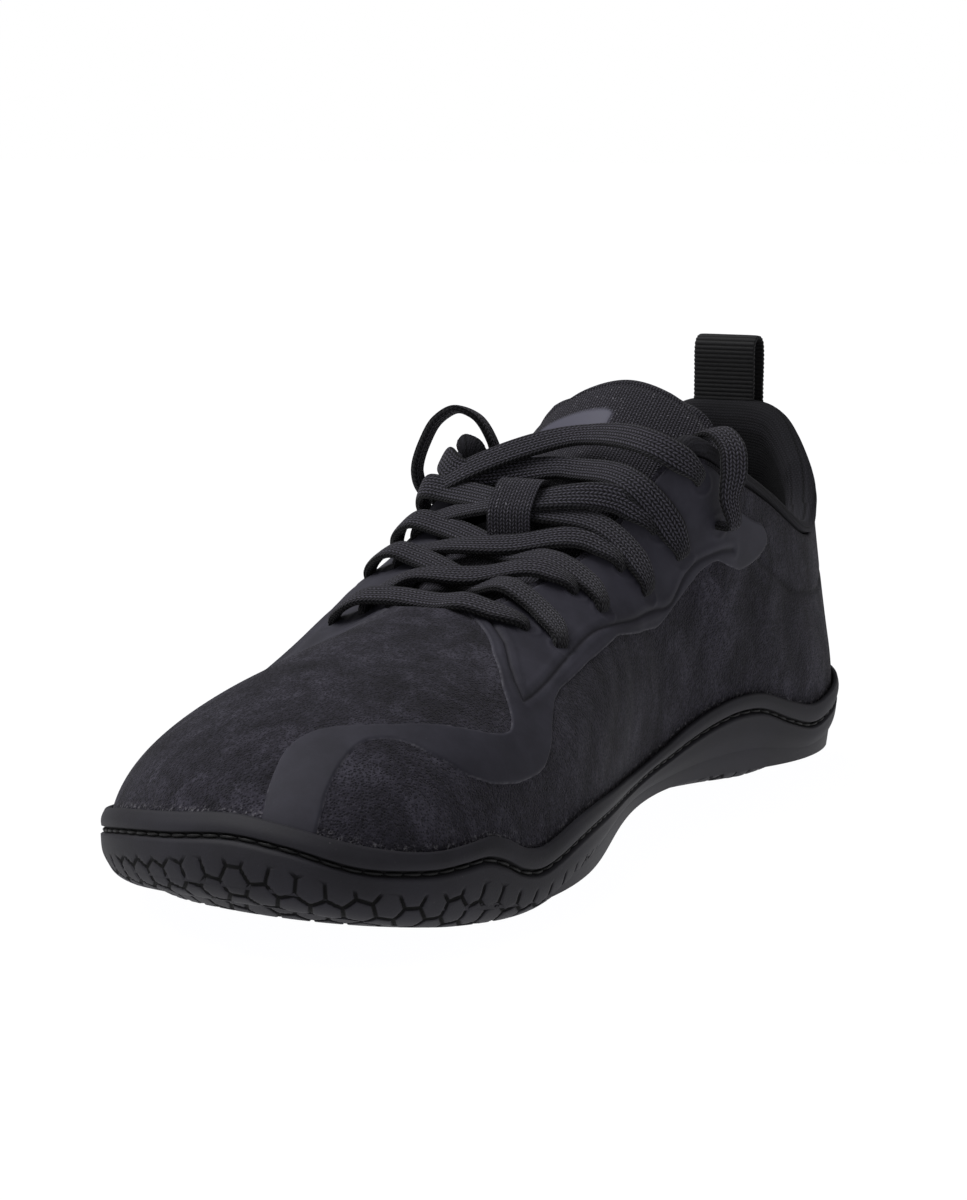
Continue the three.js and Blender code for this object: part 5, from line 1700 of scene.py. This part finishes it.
@dataclass
class Keeper:
    """The short strap on the tongue that the upper crossing passes under."""

    width: float = 12 * MM
    thickness: float = 0.8 * MM
    aside: float = -3 * MM
    # along and height of its arch
    ARCH = ((-0.0283, 1.308), (-0.0318, 1.33), (-0.0535, 1.402), (-0.0605, 1.392))

    def build(self, knit: bpy.types.Material, tongue: Tongue) -> bpy.types.Object:
        """Makes the keeper: a thin strap from the tongue, over the crossing and back."""
        arch = np.array(self.ARCH) * np.array([LAST.length, LAST.instep])
        feet = (arch[0, 0] + 0.4 * MM, arch[-1, 0] - 0.4 * MM)
        ends = [[x, tongue.crown(x) + 0.1 * MM] for x in feet]
        corners = np.concatenate([ends[:1], arch, ends[1:]])
        flat = smooth_path(corners, np.linspace(0, 1, 70))
        middle = np.full(len(flat), TONGUE_MIDDLE * LAST.ball + self.aside)
        path = np.column_stack([flat[:, 0], middle, flat[:, 1]])
        wide = np.broadcast_to([0.0, 1.0, 0.0], path.shape)
        sizes = np.ones(len(path))
        grid, uv = strap(path, wide, sizes * self.width, sizes * self.thickness, 40, 5)
        skin = weave(grid, wrap_j=True, uv=uv, capped=True)
        return settle(skin.build("keeper_strap", [knit]), "knit", "tongue_keeper")


@dataclass
class PullLoop:
    """The strap of ribbed webbing that stands on the heel's rim and runs down behind it."""

    width: float = 18 * MM
    thickness: float = 1.3 * MM
    gap: float = 4.8 * MM
    height: float = 17 * MM
    seat: float = 15 * MM
    pitch: float = 1.15 * MM
    ridge: float = 0.35 * MM

    def build(self, webbing: bpy.types.Material) -> bpy.types.Object:
        """Makes the loop: up from the rim, over in a half circle and down the heel."""
        heel = LAST.count / 2
        rim = Collar.rim_height * 1.7
        behind = LAST.over_edge(heel, rim * 0.35, Collar.rim_bulge + LAST.clearance)
        above = LAST.over_edge(heel, rim, Collar.rim_bulge)
        rib = LAST.point(heel, np.linspace(0, 1, 200))
        seat = 1 - self.seat / np.linalg.norm(np.diff(rib, axis=0), axis=1).sum()
        half = self.thickness / 2
        radius = self.gap / 2
        top = above[2] + self.height - radius - self.thickness
        x = behind[0] + radius
        turn = np.linspace(0, np.pi, 12)
        arc = np.column_stack([np.cos(turn), np.sin(turn)]) * (radius + half) + [x, top]
        front = [[x + radius + half, level] for level in (above[2] - 2.2 * MM, (above[2] + top) / 2)]
        down = [[behind[0] - half, level] for level in ((behind[2] + top) / 2, behind[2])]
        shares = (0.97, (0.97 + seat) / 2, seat)
        low = [LAST.skin(heel, share, LAST.clearance + half)[[0, 2]] for share in shares]
        corners = np.concatenate([front, arc, down, low])
        flat = smooth_path(corners, np.linspace(0, 1, 420))
        path = np.column_stack([flat[:, 0], np.zeros(len(flat)), flat[:, 1]])
        run = lengths(path)
        rib_wave = np.abs(np.sin(run * np.pi / self.pitch))
        wide = np.broadcast_to([0.0, 1.0, 0.0], path.shape)
        width = self.width - self.ridge + self.ridge * rib_wave
        thickness = self.thickness - 0.3 * MM + 0.3 * MM * rib_wave
        grid, uv = strap(path, wide, width, thickness, 44, 7)
        skin = weave(grid, wrap_j=True, uv=uv, capped=True)
        return settle(skin.build("ribbed_loop", [webbing]), "webbing", "pull_loop")


@dataclass
class Studio:
    """Floor, lights and the camera at the photograph's angle."""

    eye: tuple = (655.07, 352.30, 165.66)
    right: tuple = (-0.48184, 0.87625, 0.00356)
    up: tuple = (-0.12477, -0.07263, 0.98952)
    back: tuple = (0.86733, 0.47635, 0.14432)
    focal_pixels: float = 3104.014
    sensor: float = 36.0
    frame_height: int = 1200
    glow: float = 0.27

    def camera(self) -> None:
        """Makes the camera: its axes and its focal length come from the fit to the photograph."""
        data = bpy.data.cameras.new("camera")
        data.sensor_width = self.sensor
        data.lens = self.focal_pixels * self.sensor / self.frame_height
        data.clip_start, data.clip_end = 0.05, 60
        obj = bpy.data.objects.new("camera", data)
        rows = np.eye(4)
        rows[:3, 0], rows[:3, 1], rows[:3, 2] = self.right, self.up, self.back
        rows[:3, 3] = np.array(self.eye) * MM + CENTRING
        obj.matrix_world = Matrix(rows.tolist())
        bpy.context.scene.collection.objects.link(obj)
        bpy.context.scene.camera = obj

    def floor(self) -> None:
        """Makes the floor: a wide square under the sole."""
        reach = 30.0
        corners = np.array([[[x, y, 0] for y in (-reach, reach)] for x in (-reach, reach)])
        obj = weave(corners - CENTRING - [0, 0, 0.05 * MM]).build("floor", [Ground().dye()])

    def sun(self, name: str, towards: tuple, strength: float, spread: float) -> None:
        """One very wide sun.

        Args:
            name: its name.
            towards: where it stands, seen from the shoe.
            strength: its strength.
            spread: its width in degrees.
        """
        data = bpy.data.lights.new(name, "SUN")
        data.energy, data.angle = strength, math.radians(spread)
        obj = bpy.data.objects.new(name, data)
        obj.rotation_euler = Vector(towards).to_track_quat("Z", "Y").to_euler()
        bpy.context.scene.collection.objects.link(obj)

    def lights(self) -> None:
        """Makes the white surroundings and the lamps."""
        world = bpy.data.worlds.new("studio")
        world.use_nodes = True
        tree = world.node_tree
        sky = tree.nodes["Background"]
        sky.inputs["Color"].default_value = (1, 1, 1, 1)
        seen = tree.nodes.new("ShaderNodeMapRange")
        seen.inputs["To Min"].default_value, seen.inputs["To Max"].default_value = self.glow, 1.0
        rays = tree.nodes.new("ShaderNodeLightPath")
        tree.links.new(rays.outputs["Is Camera Ray"], seen.inputs["Value"])
        tree.links.new(seen.outputs["Result"], sky.inputs["Strength"])
        bpy.context.scene.world = world
        self.sun("key", (0.2, -0.46, 1.0), 3.1, 46)
        self.sun("fill", (0.9, 0.2, 0.5), 0.12, 70)


def main() -> None:
    """Builds the studio and the shoe, piece by piece."""
    logging.basicConfig(level=logging.INFO, format="%(name)s %(message)s", stream=sys.stdout)
    bpy.context.scene.view_settings.view_transform = "Standard"
    studio = Studio()
    studio.camera()
    studio.floor()
    studio.lights()
    lace = Knitted(
        "lace", tone(2, 2, 3), tone(67, 65, 75), column=0.86 * MM, stitch=1.08 * MM, depth=0.45 * MM,
        flecks=0.4, fleck_tone=tone(104, 102, 110),
    ).dye()
    laces = Laces()
    laces.end(laces.INNER_END, Side.INNER, laces.width, (-0.85, 0.5, 0.15), "lace_end_inner", lace)
    laces.end(laces.OUTER_END, Side.OUTER, laces.bunched, (1.0, 0.0, 0.2), "lace_end_outer", lace)
    laces.bars(lace)
    outsole = Outsole()
    outsole.build(Rubber().dye())
    outsole.stitches(Thread().dye())
    lining = Knitted(
        "lining", tone(13, 13, 14), tone(26, 26, 29), column=0.8 * MM, stitch=0.9 * MM, depth=0.12 * MM,
        flecks=0.04, sheen=0.0,
    ).dye()
    fabric = Knitted(
        "insole_fabric", tone(12, 12, 13), tone(32, 32, 35), column=1.0 * MM, depth=0.15 * MM,
        flecks=0.1,
    ).dye()
    Insole().build(fabric)
    Upper().build(Nubuck().dye())
    film = Film().dye()
    FilmOverlay(Side.INNER, INNER_FILM, INNER_LINE).build(film, "film_inner")
    FilmOverlay(Side.OUTER, OUTER_FILM, OUTER_LINE).build(film, "film_outer")
    Collar().build(lining)
    knit = Knitted(
        "tongue_knit", tone(9, 8, 12), tone(60, 58, 67), column=0.85 * MM, stitch=0.95 * MM,
        depth=0.34 * MM, flecks=0.75, fleck_tone=tone(120, 118, 126),
    ).dye()
    tongue = Tongue()
    tongue.build(knit)
    Keeper().build(knit, tongue)
    PullLoop().build(Grosgrain().dye())


if __name__ == "__main__":
    main()
